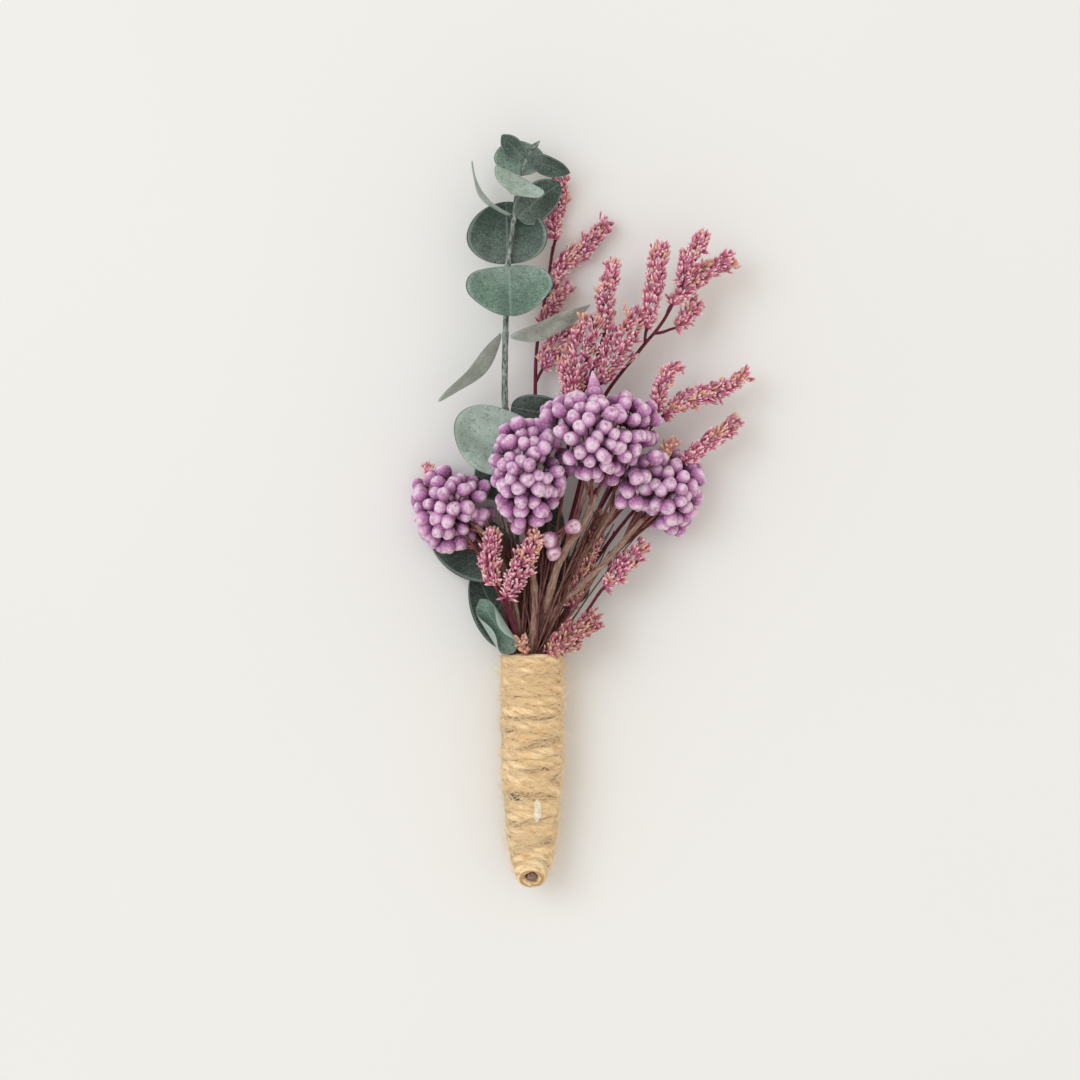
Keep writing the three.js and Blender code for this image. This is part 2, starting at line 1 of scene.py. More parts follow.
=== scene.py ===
"""A small bunch of dried flowers, bound with jute twine and lying on its back.

Laid out as an add-on: the property groups hold the sizes and colours, each operator makes one
piece or one group of like pieces, and the panel lists the operators. It is run as a script.
All the layout below is in millimetres from the binding, where the stems leave the twine.
"""

import math

import bpy
import numpy as np
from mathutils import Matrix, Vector


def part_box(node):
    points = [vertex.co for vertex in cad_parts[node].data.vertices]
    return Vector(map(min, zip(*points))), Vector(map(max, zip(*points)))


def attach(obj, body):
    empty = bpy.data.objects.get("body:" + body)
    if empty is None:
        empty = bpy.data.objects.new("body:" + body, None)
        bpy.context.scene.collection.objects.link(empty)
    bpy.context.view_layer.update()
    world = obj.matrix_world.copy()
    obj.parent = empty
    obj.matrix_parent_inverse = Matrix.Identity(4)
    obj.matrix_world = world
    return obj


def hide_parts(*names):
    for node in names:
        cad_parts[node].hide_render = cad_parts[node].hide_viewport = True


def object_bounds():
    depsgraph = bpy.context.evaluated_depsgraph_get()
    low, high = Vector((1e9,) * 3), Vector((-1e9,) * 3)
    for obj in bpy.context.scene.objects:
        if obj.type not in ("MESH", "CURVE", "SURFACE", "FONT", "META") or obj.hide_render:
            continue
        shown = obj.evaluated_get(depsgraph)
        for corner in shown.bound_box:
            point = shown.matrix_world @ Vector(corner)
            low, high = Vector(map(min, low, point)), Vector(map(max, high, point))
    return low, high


bl_info = {
    "name": "Dried flower bunch",
    "version": (1, 0, 0),
    "blender": (4, 5, 0),
    "location": "3D View > Sidebar > Dried bunch",
    "description": "Builds the looks of a twine-bound bunch of dried flowers round its packed frame",
    "category": "Add Mesh",
}

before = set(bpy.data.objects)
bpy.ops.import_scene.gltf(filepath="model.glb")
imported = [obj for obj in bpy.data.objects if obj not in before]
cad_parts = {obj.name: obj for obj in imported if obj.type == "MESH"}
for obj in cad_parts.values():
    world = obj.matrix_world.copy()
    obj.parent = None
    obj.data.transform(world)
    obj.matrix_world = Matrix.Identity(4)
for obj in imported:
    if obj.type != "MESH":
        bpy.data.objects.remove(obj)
frame_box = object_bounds()
wrap_low, wrap_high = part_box("twine_wrap")
BINDING = np.array([(wrap_low.x + wrap_high.x) / 2, wrap_high.y, wrap_low.z])
MM = 0.001

# ---------------------------------------------------------------- layout of the handle

WRAP_LENGTH = 45.4
TAIL_BEND = 9.0         # the last stretch, which curls up
TAIL_TIP = math.radians(50)
STEM_DEPTH = 34         # how far back the woody stems and the sprig run inside the twine
SPRAY_DEPTH = 24        # how far back the sea lavender stems run inside it
CUT_END = 0.35          # how far the thick stem's cut end stands out of the twine
TWIST_LENGTH = 13       # of twine in which its strands turn once
INNER_RING = 2.2        # the stems are packed in two rings round the thick one
OUTER_RING = 3.75
WRAP_RADIUS = 6.3
# of the outer and inner layer: steps in a turn, sides, depth, tilt, seed, length along the handle
# the depth also darkens the whole inner layer with painted shade
TWINE_LAYERS = ((110, 18, 0.0, 1.7, -1.6, WRAP_LENGTH), (60, 10, 0.75, -1.3, 1.5, 41))
FIBRE_HEIGHT = 0.1      # lowest that a loose fibre lies over the table
GLUE_REACH = (28.6, 33.2)
GLUE_ANGLE = math.radians(78)
TAPER_SHARE = [0, 0.2, 0.45, 0.58, 0.65, 0.8, 0.9, 1]
TAPER_RADIUS = [1, 0.985, 0.975, 0.95, 0.86, 0.8, 0.66, 0.46]

# ---------------------------------------------------------------- layout of the stems

# ring, angle of its slot, radius at each end, layout points
WOODY_STEMS = {
    "rice_stem_main": (0, 0, 0.95, 0.7,
                       [(1.6, 6, 7.4), (3.2, 11, 9.5), (5.6, 19, 12.5), (10.6, 27, 14), (12.6, 32, 14.5)]),
    "rice_stem_right": (INNER_RING, 10, 0.8, 0.5,
                        [(4.6, 8.5, 8.4), (9, 13.2, 9.8), (13.6, 17.5, 10.8), (17.6, 22, 11.4),
                         (22, 27, 12)]),
    "rice_stem_centre": (INNER_RING, 100, 0.8, 0.5,
                         [(0.4, 6, 9.8), (0.6, 12, 10.8), (-0.4, 20, 12), (-1.4, 30, 13)]),
    "rice_stem_back": (INNER_RING, 315, 0.68, 0.5,
                       [(3.6, 8, 6), (6.6, 14, 7.5), (13, 24, 10), (19, 33, 12)]),
    "rice_stem_left": (INNER_RING, 170, 0.6, 0.4,
                       [(-2.6, 6, 8), (-3.6, 11, 9), (-6.6, 20, 10), (-11, 26, 10.4)]),
}
SPRIG_STEM = (INNER_RING, 235, 0.8, 0.32,
              [(-2, 8, 4.9), (-3, 18, 5.4), (-4.2, 34, 6.6), (-5.4, 50, 8), (-5.2, 67.4, 8.6),
               (-4.8, 78, 8.8), (-3.6, 87.4, 8.8), (-2.6, 95.2, 9), (-1, 99.2, 9.3)])
# how far up the sprig each pair of leaves grows
SPRIG_JOINTS = [1.2, 18, 32, 48.6, 64, 77.8, 87.4, 95, 99]
SPRIG_BUD = [(-0.7, 100, 9.8), (0.2, 101.2, 10.2), (1.6, 102.6, 10.8)]
SPRAY_RADIUS = 0.45
# angle of its slot, layout points
SPRAY_STEMS = {
    1: (258, [(-0.4, 14, 4), (0.2, 32, 4.2), (0.6, 50, 3.6), (1, 62, 3.2), (3.2, 75, 2.8), (4.2, 82, 2.6)]),
    2: (280, [(2.2, 14, 4.6), (5.6, 32, 6.5), (8.6, 48, 8.5), (12.4, 58, 9.5), (14.4, 64, 10)]),
    3: (302, [(4.4, 14, 5), (9, 32, 7.5), (13.6, 50, 9), (21.6, 61, 10), (26, 66.4, 10.5),
              (29.6, 73.2, 10.5)]),
    4: (324, [(6.5, 12, 6), (13, 28, 8), (20, 40, 9.5), (24.4, 46.5, 10)]),
    5: (346, [(8.5, 12, 5.6), (18, 26, 7.6), (26, 35, 9)]),
    7: (120, [(-3.4, 5, 10.4), (-5.2, 10.5, 11.2)]),
    8: (30, [(6.5, 4, 8.4), (9.8, 7.2, 8.6), (13.5, 12.5, 9)]),
}

# ---------------------------------------------------------------- layout of the leaves

# how fast a leaf narrows towards its ends
ROUND_LEAF = 0.5
POINTED_LEAF = 0.8
# how much waxy bloom shows on each kind of leaf
LEAF_BLOOM = {"leaf_dark": 0.24, "leaf_light": 0.36, "leaf_pale": 0.5, "leaf_grey": 0.65, "leaf_shade": 0.16}
# base, tip, width, roll about the midrib, cup at each edge, bow of the midrib, taper, finish
LEAVES = {
    "1_left": ((-4.2, 1.6, 3.8), (-11.4, 16.5, 2), 9.5, 10, 20, 0, ROUND_LEAF, "leaf_shade"),
    "1_front": ((-3.7, 0.5, 10.4), (-10.4, 11.2, 8.8), 10.5, -6, 160, 0, POINTED_LEAF, "leaf_light"),
    "2_left": ((-3.9, 18.5, 4.9), (-20.5, 24.5, 1), 13, 0, 20, 0, ROUND_LEAF, "leaf_shade"),
    "2_right": ((-2.1, 17, 4), (11.5, 12.5, 1.4), 12, 0, 20, 0, ROUND_LEAF, "leaf_shade"),
    "3_left": ((-4.9, 32, 5.6), (-10, 39.5, 4.2), 9, 0, 20, 0, ROUND_LEAF, "leaf_shade"),
    "3_right": ((-3.2, 31.5, 7.6), (6, 24.5, 7.8), 9, 0, 20, 0, ROUND_LEAF, "leaf_shade"),
    "4_front": ((-5.2, 49, 9.5), (-9.6, 36.4, 11.6), 18, 0, 20, 0, ROUND_LEAF, "leaf_grey"),
    "4_back": ((-4.2, 49.6, 7.1), (9, 47.2, 6.8), 7, 0, 20, 0, ROUND_LEAF, "leaf_shade"),
    "5_left": ((-6.2, 64.2, 8.4), (-18.8, 50.8, 5.5), 7.4, -68, 20, 0.05, POINTED_LEAF, "leaf_pale"),
    "5_right": ((-4.2, 63.4, 8.7), (11.6, 70, 10), 7.4, 62, 20, 0.04, POINTED_LEAF, "leaf_pale"),
    "6_back": ((-4.8, 78.2, 7.8), (-5.2, 90.8, 6), 16.6, 0, 20, 0, ROUND_LEAF, "leaf_dark"),
    "6_front": ((-4.6, 77.6, 9.9), (-4.2, 67.6, 14.4), 17.8, 0, 20, 0, ROUND_LEAF, "leaf_light"),
    "7_left": ((-4.3, 87.9, 8.6), (-12, 98.8, 8), 6, -88, 20, 0.16, POINTED_LEAF, "leaf_grey"),
    "7_right": ((-2.9, 87.4, 9.2), (5.6, 94.4, 8), 8.4, 30, 20, -0.06, ROUND_LEAF, "leaf_dark"),
    "8_front": ((-2, 95.4, 10.1), (-4, 91.8, 14), 11.4, 0, 20, 0, 0.6, "leaf_grey"),
    "8_back": ((-2.8, 95.9, 8.2), (-2.2, 103, 5.6), 10.4, 0, 20, 0, ROUND_LEAF, "leaf_light"),
    "9_left": ((-1.6, 99.4, 9.6), (-6, 103.8, 10.4), 5.4, -40, 20, 0, 0.6, "leaf_dark"),
    "9_right": ((-0.4, 99.2, 9.4), (7.6, 96.2, 9.8), 5.2, 40, 20, 0, 0.7, "leaf_dark"),
}

# ---------------------------------------------------------------- layout of the heads

# centre, radii, facing, berries, seed, whether it rests on the table, the stem that carries it
HEADS = {
    "rice_head_left": ((-16, 29.2, 8), (7, 7.2, 6.2), (-0.3, 0.35, 0.9), 60, 1, True, "rice_stem_left"),
    "rice_head_middle_left": ((-0.4, 36.8, 13.6), (6.6, 9.6, 6.6), (-0.1, 0.1, 0.98), 78, 101, False,
                              "rice_stem_centre"),
    "rice_head_top": ((12.6, 44, 15.6), (10.6, 7.8, 7.6), (0.05, 0.2, 0.97), 100, 201, False,
                      "rice_stem_main"),
    "rice_head_right": ((26.4, 33, 8.2), (6.8, 6.8, 6.8), (0.35, 0, 0.93), 64, 401, True,
                        "rice_stem_right"),
    "rice_head_middle_right": ((19.6, 37.6, 11), (6.6, 7.2, 6.6), (0.1, 0, 0.99), 62, 301, False,
                               "rice_stem_back"),
}
FORKS_IN_HEAD = 9
BERRY_RADIUS = 1.45
BERRY_SCATTER = 0.12
LOW_BERRY_RADIUS = 1.7
LOW_BERRIES = [(3.6, 23, 14.6), (4.3, 20.6, 13.4), (8.2, 25.6, 17)]
LOW_FACING = [(-0.3, -0.2, 1), (0, -0.5, 1), (0.3, 0, 1)]
LOW_FORK = (6.6, 25.4, 15.2)
LOW_START = 86          # hundredths of the main stem, where the low berries' stalk leaves it
HEAD_BUD = [(12.3, 51.4, 14.6), (12.2, 54, 15.1), (12, 56.6, 15.4)]
GOLDEN_ANGLE = math.pi * (3 - math.sqrt(5))
DOME_EDGE = -0.4
HEAD_SCATTER = 0.26
HEAD_LOBES = 0.12
TURN_SCATTER = 0.5
CLEARANCE = 0.3

# ---------------------------------------------------------------- layout of the spikes

FLORETS_IN_TUFT = 5
SPIKE_STEPS = 80
TWIG_RADIUS = 0.32
DRY_SHARE = 0.14        # of the tufts; half as much at the foot of a spike, three times at its tip
# path, widest radius, bare share
SPIKES = {
    "limonium_1_tip": ([(4.6, 83.6, 2.6), (4.6, 87, 2.4), (6, 92, 2.3), (5.8, 96, 2.6)], 2.1, 0.02),
    "limonium_1_arch": ([(3.6, 73, 2.7), (6, 78, 2.5), (11.4, 82.4, 2.5), (15.4, 87, 3)], 2.5, 0.08),
    "limonium_1_side": ([(1.8, 65.6, 3), (4.6, 70.8, 3), (8, 74, 3)], 1.7, 0.1),
    "limonium_1_low": ([(1.6, 56.5, 3.6), (4.6, 62.5, 3.8), (7.6, 66.6, 3.8)], 2.9, 0.12),
    "limonium_2_tip": ([(14.7, 64.6, 10), (14.8, 71, 10.4), (16.4, 78.8, 9.8)], 2.6, 0.02),
    "limonium_2_left": ([(8.4, 50.5, 9.9), (8.8, 57, 11), (10.2, 62, 11.4), (12, 67.4, 11)], 4, 0.05),
    "limonium_2_right": ([(13.4, 54, 10.9), (15.8, 59, 12), (19, 64, 12.4), (21.4, 68.8, 12)], 4, 0.05),
    "limonium_2_low": ([(9.6, 46, 9.4), (8.4, 51, 11), (7.2, 55, 11.4), (6.2, 59, 11)], 2.8, 0.1),
    "limonium_3_left": ([(22.6, 63.8, 11.6), (24.2, 73, 12.2), (26, 82, 11.4)], 2.5, 0.08),
    "limonium_3_right": ([(27.6, 69.6, 10.8), (33, 75.4, 10), (40.2, 79.2, 9)], 2.5, 0.05),
    "limonium_3_tip": ([(29.8, 73.8, 12.2), (31.4, 78.8, 12.6), (34.6, 84, 11.8)], 2.6, 0.05),
    "limonium_3_side": ([(26.4, 64.6, 9.2), (29.8, 66.4, 8.8), (33.4, 71, 8.4)], 1.8, 0.3),
    "limonium_4_left": ([(24.6, 47.7, 11), (25.4, 52, 11.6), (27, 56.4, 11.6), (29.8, 57.4, 11)], 2.2, 0.1),
    "limonium_4_right": ([(25.6, 47.4, 9.4), (31.6, 51.2, 8.6), (38, 53, 8), (43.4, 56.4, 7.4)], 2.5, 0.06),
    "limonium_5_tip": ([(27, 36, 9.4), (33.4, 40.8, 8.6), (37.6, 44, 8), (41.4, 46.8, 7.4)], 2.3, 0.25),
    "limonium_6_spray": ([(-6.5, 12, 6.5), (-12, 22, 5.4), (-18.4, 30, 5.4), (-21, 38.4, 6)], 1.7, 0.62),
    "limonium_7_right": ([(-5, 11.4, 12.2), (-2, 18, 14.6), (1.6, 24.2, 15.6)], 2.9, 0.04),
    "limonium_7_left": ([(-6, 11.6, 11.8), (-8.4, 18, 13), (-7.4, 25, 13.4)], 2.4, 0.2),
    "limonium_8_tip": ([(14.2, 13.4, 9.2), (17.6, 16.8, 9.2), (22.8, 22.2, 8.8)], 2.7, 0.05),
    "limonium_9_spray": ([(4.6, 1.2, 10.4), (8.6, 4.2, 10.4), (13.2, 8, 9.8)], 3, 0.42),
    "limonium_10_spray": ([(7.5, 9, 8.1), (10.2, 16, 8.4), (11.8, 21, 8.4), (14.6, 28.4, 8.2)], 1.9, 0.5),
}
# angle of the slot of a spray that comes straight out of the handle
SPIKE_SLOTS = {"limonium_6_spray": 188, "limonium_9_spray": 52, "limonium_10_spray": 8}
BROWN_SPIKES = ("limonium_9_spray", "limonium_10_spray")
# foot of each loose tuft of dried florets, and the way it points
DRY_TUFTS = [((-1.4, 0.4, 10.9), (-0.2, 0.9, 0.3)), ((26.8, 39.2, 12), (0.3, 0.9, 0.3)),
             ((-8, 21.6, 12), (-0.1, 1, 0.1))]
TUFT_FLORETS = 36


# ---------------------------------------------------------------- sizes and colours

def dim(shade, share):
    """A colour made darker, or lighter where the share is over 1."""
    return tuple(min(1, part * share) for part in shade)


def linear(code):
    """The linear colour of a hex code, as Blender stores colours."""
    parts = [int(code[i:i + 2], 16) / 255 for i in (1, 3, 5)]
    return tuple(p / 12.92 if p <= 0.04045 else ((p + 0.055) / 1.055) ** 2.4 for p in parts)


def colour(name, code, description):
    return bpy.props.FloatVectorProperty(
        name=name, description=description, subtype="COLOR", size=3, min=0, max=1, default=linear(code))


def length(name, millimetres, description):
    return bpy.props.FloatProperty(
        name=name, description=description, subtype="DISTANCE", unit="LENGTH", min=0, precision=5,
        default=millimetres * MM)


def number(name, count, description):
    return bpy.props.IntProperty(name=name, description=description, default=count, min=2)


class BunchSizes(bpy.types.PropertyGroup):
    twine: length("Twine", 1.8, "Diameter of the jute twine")
    turns: number("Turns", 23, "Turns of twine round the stems")
    hairs: number("Stray fibres", 4200, "Loose fibres that stand off the twine")
    leaf: length("Leaf", 0.42, "Thickness of a leaf at its midrib")
    floret: length("Floret", 2.4, "Length of the longest florets")
    floret_width: length("Floret width", 0.56, "Width of a floret")
    floret_gap: length("Floret gap", 0.046, "Length of spike that each floret takes")
    tangle: number("Side stalks", 84, "Thin stalks between the woody stems")
    stalk: length("Stalk", 0.42, "Diameter of the stalk under each berry")


class BunchColours(bpy.types.PropertyGroup):
    twine: colour("Twine", "#ffe1ae", "Jute in the light")
    # painted shade between the fibres, mixed with the jute's own darker tone
    twine_shade: colour("Twine shade", "#dcaf72", "Jute between the fibres")
    # painted shade in the hollows between the strands and turns; on the loose fibres, the darker tone of some
    # fibres
    twine_groove_shade_and_dark_fibre: colour("Twine grooves", "#a9763a", "Jute deep between the strands")
    # bleached fibres, and a painted highlight on the tops of the fibres
    twine_bleach_and_highlight: colour("Twine light", "#fff0cf", "Bleached fibres")
    leaf_dark: colour("Leaf, back", "#3f5348", "Leaves at the back of the sprig")
    # painted shade: the leaves deep in the bunch are darkened for the shade they lie in, not given a greener
    # colour
    leaf_shade: colour("Leaf, shaded", "#35443a", "Greener leaves deep in the bunch")
    leaf_grey: colour("Leaf, bloomed", "#a2b4a6", "The greyest front leaf")
    leaf_light: colour("Leaf, front", "#64816f", "Leaves at the front of the sprig")
    leaf_pale: colour("Leaf, underside", "#c6d1c4", "Undersides of leaves")
    bloom: colour("Bloom", "#b9c5bd", "Waxy bloom on the leaves and sprig")
    wood: colour("Wood", "#a17f70", "Woody stems")
    wood_light: colour("Wood, worn", "#cbb5a8", "Worn ridges of the woody stems")
    sprig: colour("Sprig", "#5c625a", "Bark of the sprig under its bloom")
    berry: colour("Berry", "#d08fc2", "Berries")
    # painted highlight on the tops of the berries, and pale specks of down
    berry_highlight_and_down: colour("Berry, top", "#f8e2ee", "Pale tops of the berries")
    # painted shade on the undersides of the berries, and the deeper tone of some berries
    berry_shade: colour("Berry, base", "#87467a", "Undersides of the berries")
    low_berry: colour("Low berry", "#b8708a", "Redder berries under the heads")
    spray: colour("Spray stem", "#6e2b40", "Stems of the sea lavender")
    floret: colour("Floret", "#d5588a", "Body of a floret")
    floret_tip: colour("Floret tip", "#fad6d8", "Papery mouth of a floret")
    floret_shade: colour("Floret base", "#9c3560", "Base of a floret")
    floret_dry: colour("Dry floret", "#ecc48f", "Florets that dried cream")
    floor: colour("Table", "#efedea", "Table under the bunch")


# ---------------------------------------------------------------- curves and surfaces

def unit(vectors):
    """Each vector divided by its own length."""
    return vectors / np.maximum(np.linalg.norm(vectors, axis=-1, keepdims=True), 1e-9)


def round_angles(sides):
    """Even angles once round a ring."""
    return np.linspace(0, 2 * math.pi, sides, endpoint=False)


def shares_along(steps):
    """Even shares from 0 to 1 down a tube, shaped for its ring grid."""
    return np.linspace(0, 1, steps)[None, :, None]


def scatter(index):
    """A repeatable number from 0 to 1 for each index."""
    wave = np.sin(np.asarray(index, float) * 12.9898) * 43758.5453
    return wave - np.floor(wave)


def smooth_path(points, count):
    """Centripetal Catmull-Rom curve through the points, at even steps of its length."""
    p = np.asarray(points, float)
    p = np.vstack([2 * p[0] - p[1], p, 2 * p[-1] - p[-2]])
    knot = np.maximum(np.linalg.norm(np.diff(p, axis=0), axis=1), 1e-6) ** 0.5
    a, b, c, d = p[:-3], p[1:-2], p[2:-1], p[3:]
    k0, k1, k2 = (knot[i:i + len(a), None] for i in range(3))
    leave = ((b - a) / k0 - (c - a) / (k0 + k1) + (c - b) / k1) * k1
    reach = ((c - b) / k1 - (d - b) / (k1 + k2) + (d - c) / k2) * k1
    t = np.linspace(0, 1, 24, endpoint=False)[:, None, None]
    fine = (b + leave * t + (3 * (c - b) - 2 * leave - reach) * t ** 2
            + (2 * (b - c) + leave + reach) * t ** 3)
    fine = np.vstack([fine.transpose(1, 0, 2).reshape(-1, 3), p[-2]])
    run = np.append(0, np.cumsum(np.linalg.norm(np.diff(fine, axis=0), axis=1)))
    stops = np.linspace(0, run[-1], count)
    return np.stack([np.interp(stops, run, fine[:, axis]) for axis in range(3)], axis=1)


def frames_along(paths):
    """Tangent, normal and binormal at every point of each path.

    The normal is the part of a steady guide direction that is square to the path, where the guide
    is the axis that the path's chord follows least.
    """
    tangent = unit(np.gradient(paths, axis=-2))
    chord = np.abs(paths[..., -1, :] - paths[..., 0, :])
    guide = np.eye(3)[np.argmin(chord, axis=-1)][..., None, :]
    normal = unit(guide - np.sum(guide * tangent, axis=-1, keepdims=True) * tangent)
    return tangent, normal, np.cross(tangent, normal)


def square_to(directions):
    """Each direction as a unit, and two more square to it and to each other, ready for ring grids."""
    forward = unit(directions)
    guide = np.eye(3)[np.argmin(np.abs(directions), axis=1)]
    normal = unit(np.cross(guide, forward))
    return (part[:, None, None] for part in (forward, normal, np.cross(forward, normal)))


def run_along(paths):
    """Distance from the start of each path to each of its points."""
    steps = np.linalg.norm(np.diff(paths, axis=-2), axis=-1)
    return np.concatenate([np.zeros(steps.shape[:-1] + (1,)), np.cumsum(steps, axis=-1)], axis=-1)


def tubes(paths, radius, sides):
    """Tubes along paths: point = path + radius x (cos angle x normal + sin angle x binormal).

    Radius is given for each path, point and side, or any shape that stretches to that. The second
    result is where each point would be if its tube were pulled straight, for patterns along it.
    """
    paths = np.asarray(paths, float)
    _, normal, binormal = frames_along(paths)
    angle = round_angles(sides)
    radius = np.broadcast_to(radius, paths.shape[:2] + (sides,))[..., None]
    ring = np.cos(angle)[:, None] * normal[:, :, None] + np.sin(angle)[:, None] * binormal[:, :, None]
    points = paths[:, :, None] + radius * ring
    along = np.broadcast_to(run_along(paths)[..., None, None], radius.shape)
    offset = 40 * scatter(np.arange(len(paths)) + 0.5)[:, None, None, None]
    straight = np.concatenate(
        [radius * np.cos(angle)[:, None], radius * np.sin(angle)[:, None], along + offset], axis=-1)
    return points, straight


def ring_faces(copies, rows, sides):
    """Faces of closed tubes: a quad between each two rows and sides, and a cap on each end."""
    index = np.arange(copies * rows * sides).reshape(copies, rows, sides)
    turned = np.roll(index, -1, axis=2)
    quads = np.stack([index[:, :-1], turned[:, :-1], turned[:, 1:], index[:, 1:]], axis=-1).reshape(-1, 4)
    caps = np.concatenate([index[:, 0, ::-1], index[:, -1, :]])
    return [quads, caps]


def joined(*groups):
    """Several sets of (points, facts) on ring grids, made into one list of points, faces and facts."""
    points, faces, facts, first = [], [], {}, 0
    for grid, given in groups:
        copies, rows, sides = grid.shape[:3]
        points.append(grid.reshape(-1, 3))
        faces += [part + first for part in ring_faces(copies, rows, sides)]
        first += copies * rows * sides
        for key, value in given.items():
            width = value.shape[3:]
            facts.setdefault(key, []).append(np.broadcast_to(value, (copies, rows, sides) + width)
                                             .reshape((-1,) + width))
    return np.vstack(points), faces, {key: np.concatenate(value) for key, value in facts.items()}


def piece(name, groups, finish, slot, nodes=()):
    """Makes one object from ring grids, gives it its finish, and ties it to the frame."""
    points, faces, facts = joined(*groups)
    mesh = bpy.data.meshes.new(name)
    mesh.vertices.add(len(points))
    mesh.vertices.foreach_set("co", (BINDING + points * MM).ravel())
    sizes = np.concatenate([np.full(len(part), part.shape[1]) for part in faces])
    mesh.loops.add(int(sizes.sum()))
    mesh.loops.foreach_set("vertex_index", np.concatenate([part.ravel() for part in faces]))
    mesh.polygons.add(len(sizes))
    mesh.polygons.foreach_set("loop_start", np.append(0, np.cumsum(sizes)[:-1]))
    for key, value in facts.items():
        vector = value.ndim == 2
        store = mesh.attributes.new(key, "FLOAT_VECTOR" if vector else "FLOAT", "POINT")
        store.data.foreach_set("vector" if vector else "value", value.ravel())
    mesh.update(calc_edges=True)
    if mesh.validate():
        raise RuntimeError(f"{name} has faces that don't close")
    mesh.shade_smooth()
    mesh.materials.append(finish)
    made = bpy.data.objects.new(name, mesh)
    bpy.context.collection.objects.link(made)
    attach(made, "root")
    if nodes:
        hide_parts(*nodes)
    return made


def tube_piece(name, paths, radius, sides, finish, slot, nodes=()):
    """Makes one object from tubes whose pattern runs along them."""
    points, straight = tubes(paths, radius, sides)
    return piece(name, [(points, {"straight": straight})], finish, slot, nodes)


# ---------------------------------------------------------------- finishes

def feed(tree, socket, value):
    """Links another node's output to a socket, or sets the socket to a number or colour."""
    if isinstance(value, bpy.types.NodeSocket):
        tree.links.new(value, socket)
    else:
        socket.default_value = value


def add(tree, kind, settings=None, **inputs):
    """Adds a shader node; each input is a number, a colour or another node's output."""
    made = tree.nodes.new("ShaderNode" + kind)
    for key, value in (settings or {}).items():
        setattr(made, key, value)
    for key, value in inputs.items():
        feed(tree, made.inputs[key.replace("_", " ")], value)
    return made.outputs[0]


def known(tree, name, kind="Vector"):
    """A fact that the piece carries at each point."""
    made = tree.nodes.new("ShaderNodeAttribute")
    made.attribute_name = name
    return made.outputs[kind]


def object_place(tree):
    """The place in the object's own coordinates, in metres."""
    return tree.nodes.new("ShaderNodeTexCoord").outputs["Object"]


def noise(tree, place, scale, detail=3.0, stretch=(1, 1, 1), roughness=0.55):
    """Cloudy pattern; the stretch makes it longer or shorter along each direction."""
    if stretch != (1, 1, 1):
        place = add(tree, "Mapping", Vector=place, Scale=stretch)
    return add(tree, "TexNoise", Vector=place, Scale=scale, Detail=detail, Roughness=roughness)


def between(tree, value, low, high, start=0.0, end=1.0):
    """Smooth step of a value from low to high."""
    return add(tree, "MapRange", {"interpolation_type": "SMOOTHSTEP"}, Value=value, From_Min=low,
               From_Max=high, To_Min=start, To_Max=end)


def maths(tree, kind, first, second=0.0):
    """One step of arithmetic on one or two values."""
    made = tree.nodes.new("ShaderNodeMath")
    made.operation = kind
    for socket, value in zip(made.inputs, (first, second)):
        feed(tree, socket, value)
    return made.outputs[0]


def mix(tree, share, first, second):
    """Mixes two colours."""
    made = tree.nodes.new("ShaderNodeMix")
    made.data_type = "RGBA"
    for socket, value in zip((made.inputs[0], made.inputs[6], made.inputs[7]), (share, first, second)):
        ready = isinstance(value, (float, bpy.types.NodeSocket))
        feed(tree, socket, value if ready else (*value, 1))
    return made.outputs[2]


def over(tree, shade, colour, value, low, high, start=0.0, end=1.0):
    """Lays a colour over a shade as a value goes from low to high."""
    return mix(tree, between(tree, value, low, high, start, end), shade, colour)


def new_finish(name, roughness, **gloss):
    """An empty material with its surface shader; returns the material, its tree and a way to end it."""
    finish = bpy.data.materials.new(name)
    finish.use_nodes = True
    tree = finish.node_tree
    surface = tree.nodes["Principled BSDF"]
    surface.inputs["Roughness"].default_value = roughness
    for key, value in gloss.items():
        surface.inputs[key.replace("_", " ")].default_value = value

    def close(shade, height=None, depth=0.0001):
        tree.links.new(shade, surface.inputs["Base Color"])
        if height is not None:
            bump = add(tree, "Bump", Height=height, Strength=1.0, Distance=depth)
            tree.links.new(bump, surface.inputs["Normal"])
        return finish

    return tree, close


def glue_finish():
    """Dried glue: off-white, cloudy, a little glossy."""
    tree, close = new_finish("glue", 0.45, Specular_IOR_Level=0.4)
    clouds = noise(tree, known(tree, "straight"), 1.2, 4.0)
    shade = mix(tree, between(tree, clouds, 0.35, 0.65), linear("#e2d2b4"), linear("#f8efde"))
    return close(shade, clouds, 0.0001)


def twine_finish(colours, name="jute_twine", bleach=0.0):
    """Jute: fine fibres that run with the twist, bleached and darker streaks that are partly painted shade
    and highlight, and painted shade between the strands.
    """
    tree, close = new_finish(name, 0.95, Sheen_Weight=0.25, Sheen_Roughness=0.5,
                             Specular_IOR_Level=0.15)
    place = known(tree, "straight")
    fibres = noise(tree, place, 3.4, 4.0, (1, 1, 0.16), 0.7)
    coarse = noise(tree, place, 1.0, 2.0, (1, 1, 0.3))
    groove = known(tree, "groove", "Fac")
    # the fibre streaks give both the jute's own tone and painted light: painted shade where the fibre relief
    # is low, a painted highlight where it is high
    shade = mix(tree, between(tree, fibres, 0.36, 0.56), colours.twine_shade, colours.twine)
    shade = over(tree, shade, colours.twine_bleach_and_highlight, fibres, 0.52, 0.7, 0.0, 0.9)
    shade = over(tree, shade, colours.twine_bleach_and_highlight, coarse, 0.4, 0.7, 0.0, 0.5)
    # painted shade in the hollows between the strands, on their pressed sides and over the inner layer; on
    # the loose fibres the same mask gives some fibres a darker tone
    shade = over(tree, shade, colours.twine_groove_shade_and_dark_fibre, groove, 0.35, 1.0, 0.0, 0.75)
    shade = over(tree, shade, colours.twine_bleach_and_highlight, coarse, 0.3, 0.6, 0.0, bleach)
    return close(shade, fibres, 0.00012)


